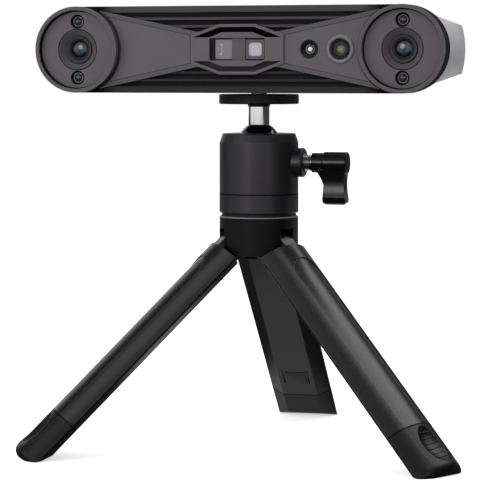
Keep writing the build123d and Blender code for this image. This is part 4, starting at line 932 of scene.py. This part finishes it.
# %% Painted shade at the top of the stem
STEM_SHADE_OUTLINE = [(4.85, 0.0), (5.15, 0.0), (5.15, -1.1), (4.95, -1.3), (4.85, -1.3)]
plate_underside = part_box("top_plate")[0][2]
stem_low, stem_high = (Vector(corner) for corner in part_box("ball_stem"))
axis = Vector(((stem_low.x + stem_high.x) / 2, (stem_low.y + stem_high.y) / 2, plate_underside))
shape = bmesh.new()
corners = [shape.verts.new(axis + Vector((radius, 0, up)) * MM) for radius, up in STEM_SHADE_OUTLINE]
edges = [shape.edges.new(pair) for pair in zip(corners, corners[1:] + corners[:1])]
bmesh.ops.spin(shape, geom=corners + edges, cent=axis, axis=(0, 0, 1), angle=2 * pi, steps=48, use_merge=True)
made("stem_top_shade", shape, plate_black, "scanner")

# %% [markdown]
# A dark line shows where each foot meets its leg. A copy of the foot's own mesh is merged and cut by two
# planes across the leg, so that only a thin slice is left, and the slice is then fattened a hair to stand
# proud.

# %% Seams of the feet
SEAM_ALONG = 114.95
SEAM_WIDTH = 0.45
SEAM_PROUD = 0.04
CUT_DISTANCE = 0.0001
for side in LEG_AZIMUTHS:
    turn = opened(side)
    downward = (turn.to_3x3() @ Vector((0, 0, -1))).normalized()
    seam = turn @ (LEG_PIN + Vector((0, 0, -SEAM_ALONG)) * MM)
    shape = bmesh.new()
    shape.from_mesh(node[f"{side}_foot"].data)
    bmesh.ops.remove_doubles(shape, verts=shape.verts, dist=MERGE_DISTANCE * MM)
    for place, away in ((seam, -downward), (seam + downward * SEAM_WIDTH * MM, downward)):
        everything = shape.verts[:] + shape.edges[:] + shape.faces[:]
        bmesh.ops.bisect_plane(shape, geom=everything, dist=CUT_DISTANCE * MM, plane_co=place, plane_no=away,
                               clear_outer=True)
    shape.normal_update()
    for vert in shape.verts:
        vert.co += vert.normal * SEAM_PROUD * MM
    made(f"{side}_foot_seam", shape, seam_black, f"{side}_pull_out_foot")

# %% [markdown]
# Four socket screws hold the rear shell. Each head is a ring of faces between a round edge and a six-sided
# one: the hexagon's sides are divided until both loops have as many points, and then they are bridged. The
# sides of the socket and of the head are pushed in from those two loops.

# %% Rear screws
SCREW_PLACES = [(x, z) for x in (-61.0, 61.0) for z in (-5.0, 5.0)]
HEAD_FACE = 49.85
HEAD_RADIUS = 2.25
HEAD_HEIGHT = 1.5
HEAD_POINTS = 48
SOCKET_RADIUS = 1.35
SOCKET_DEPTH = 1.0
SOCKET_SIDES = 6
shape = bmesh.new()
for x, z in SCREW_PLACES:
    place = SCANNER_MIDDLE + Vector((x, HEAD_FACE, z)) * MM
    facing_back = Matrix.Translation(place) @ Matrix.Rotation(radians(-90), 4, "X")
    loops = []
    for sides, radius in ((HEAD_POINTS, HEAD_RADIUS), (SOCKET_SIDES, SOCKET_RADIUS)):
        rim = bmesh.ops.create_circle(shape, segments=sides, radius=radius * MM, matrix=facing_back)["verts"]
        edges = list({edge for vert in rim for edge in vert.link_edges})
        if sides < HEAD_POINTS:
            cut = bmesh.ops.subdivide_edges(shape, edges=edges, cuts=HEAD_POINTS // sides - 1)["geom"]
            edges = list({edge for edge in cut if isinstance(edge, bmesh.types.BMEdge)})
        loops.append(edges)
    bmesh.ops.bridge_loops(shape, edges=loops[0] + loops[1])
    for edges, depth in zip(loops, (HEAD_HEIGHT, SOCKET_DEPTH)):
        pushed = bmesh.ops.extrude_edge_only(shape, edges=edges)["geom"]
        moved = [vert for vert in pushed if isinstance(vert, bmesh.types.BMVert)]
        bmesh.ops.translate(shape, verts=moved, vec=(0, -depth * MM, 0))
heads = made("casing_screw_heads", shape, steel, "scanner", 25.0)
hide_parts("casing_screws")

# %% [markdown]
# A small flat socket sits in the rear. Inside it a thin tongue carries a row of contacts, top and bottom.
# The tongue is a block with rounded edges, and so is each contact.

# %% Tongue and contacts of the socket
TONGUE = Vector((6.6, 5.0, 0.7)) * MM
TONGUE_INSET = 0.6
TONGUE_ROUND = 0.12
CONTACT = Vector((0.32, 3.4, 0.08)) * MM
CONTACT_COLUMNS = range(-5, 6)
CONTACT_PITCH = 0.55
CONTACT_SHIFT = 0.4
CONTACT_ROUND = 0.02
socket_low, socket_high = (Vector(corner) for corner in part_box("usb_socket"))
middle = (socket_low + socket_high) / 2
middle.y = socket_high.y - TONGUE_INSET * MM - TONGUE.y / 2
shape = bmesh.new()
block(shape, middle, TONGUE, TONGUE_ROUND * MM)
made("socket_tongue", shape, optics_black, "scanner")
shape = bmesh.new()
for column in CONTACT_COLUMNS:
    for row in (-1, 1):
        offset = Vector((column * CONTACT_PITCH * MM, CONTACT_SHIFT * MM, row * TONGUE.z / 2))
        block(shape, middle + offset, CONTACT, CONTACT_ROUND * MM)
made("socket_contacts", shape, brass, "scanner")
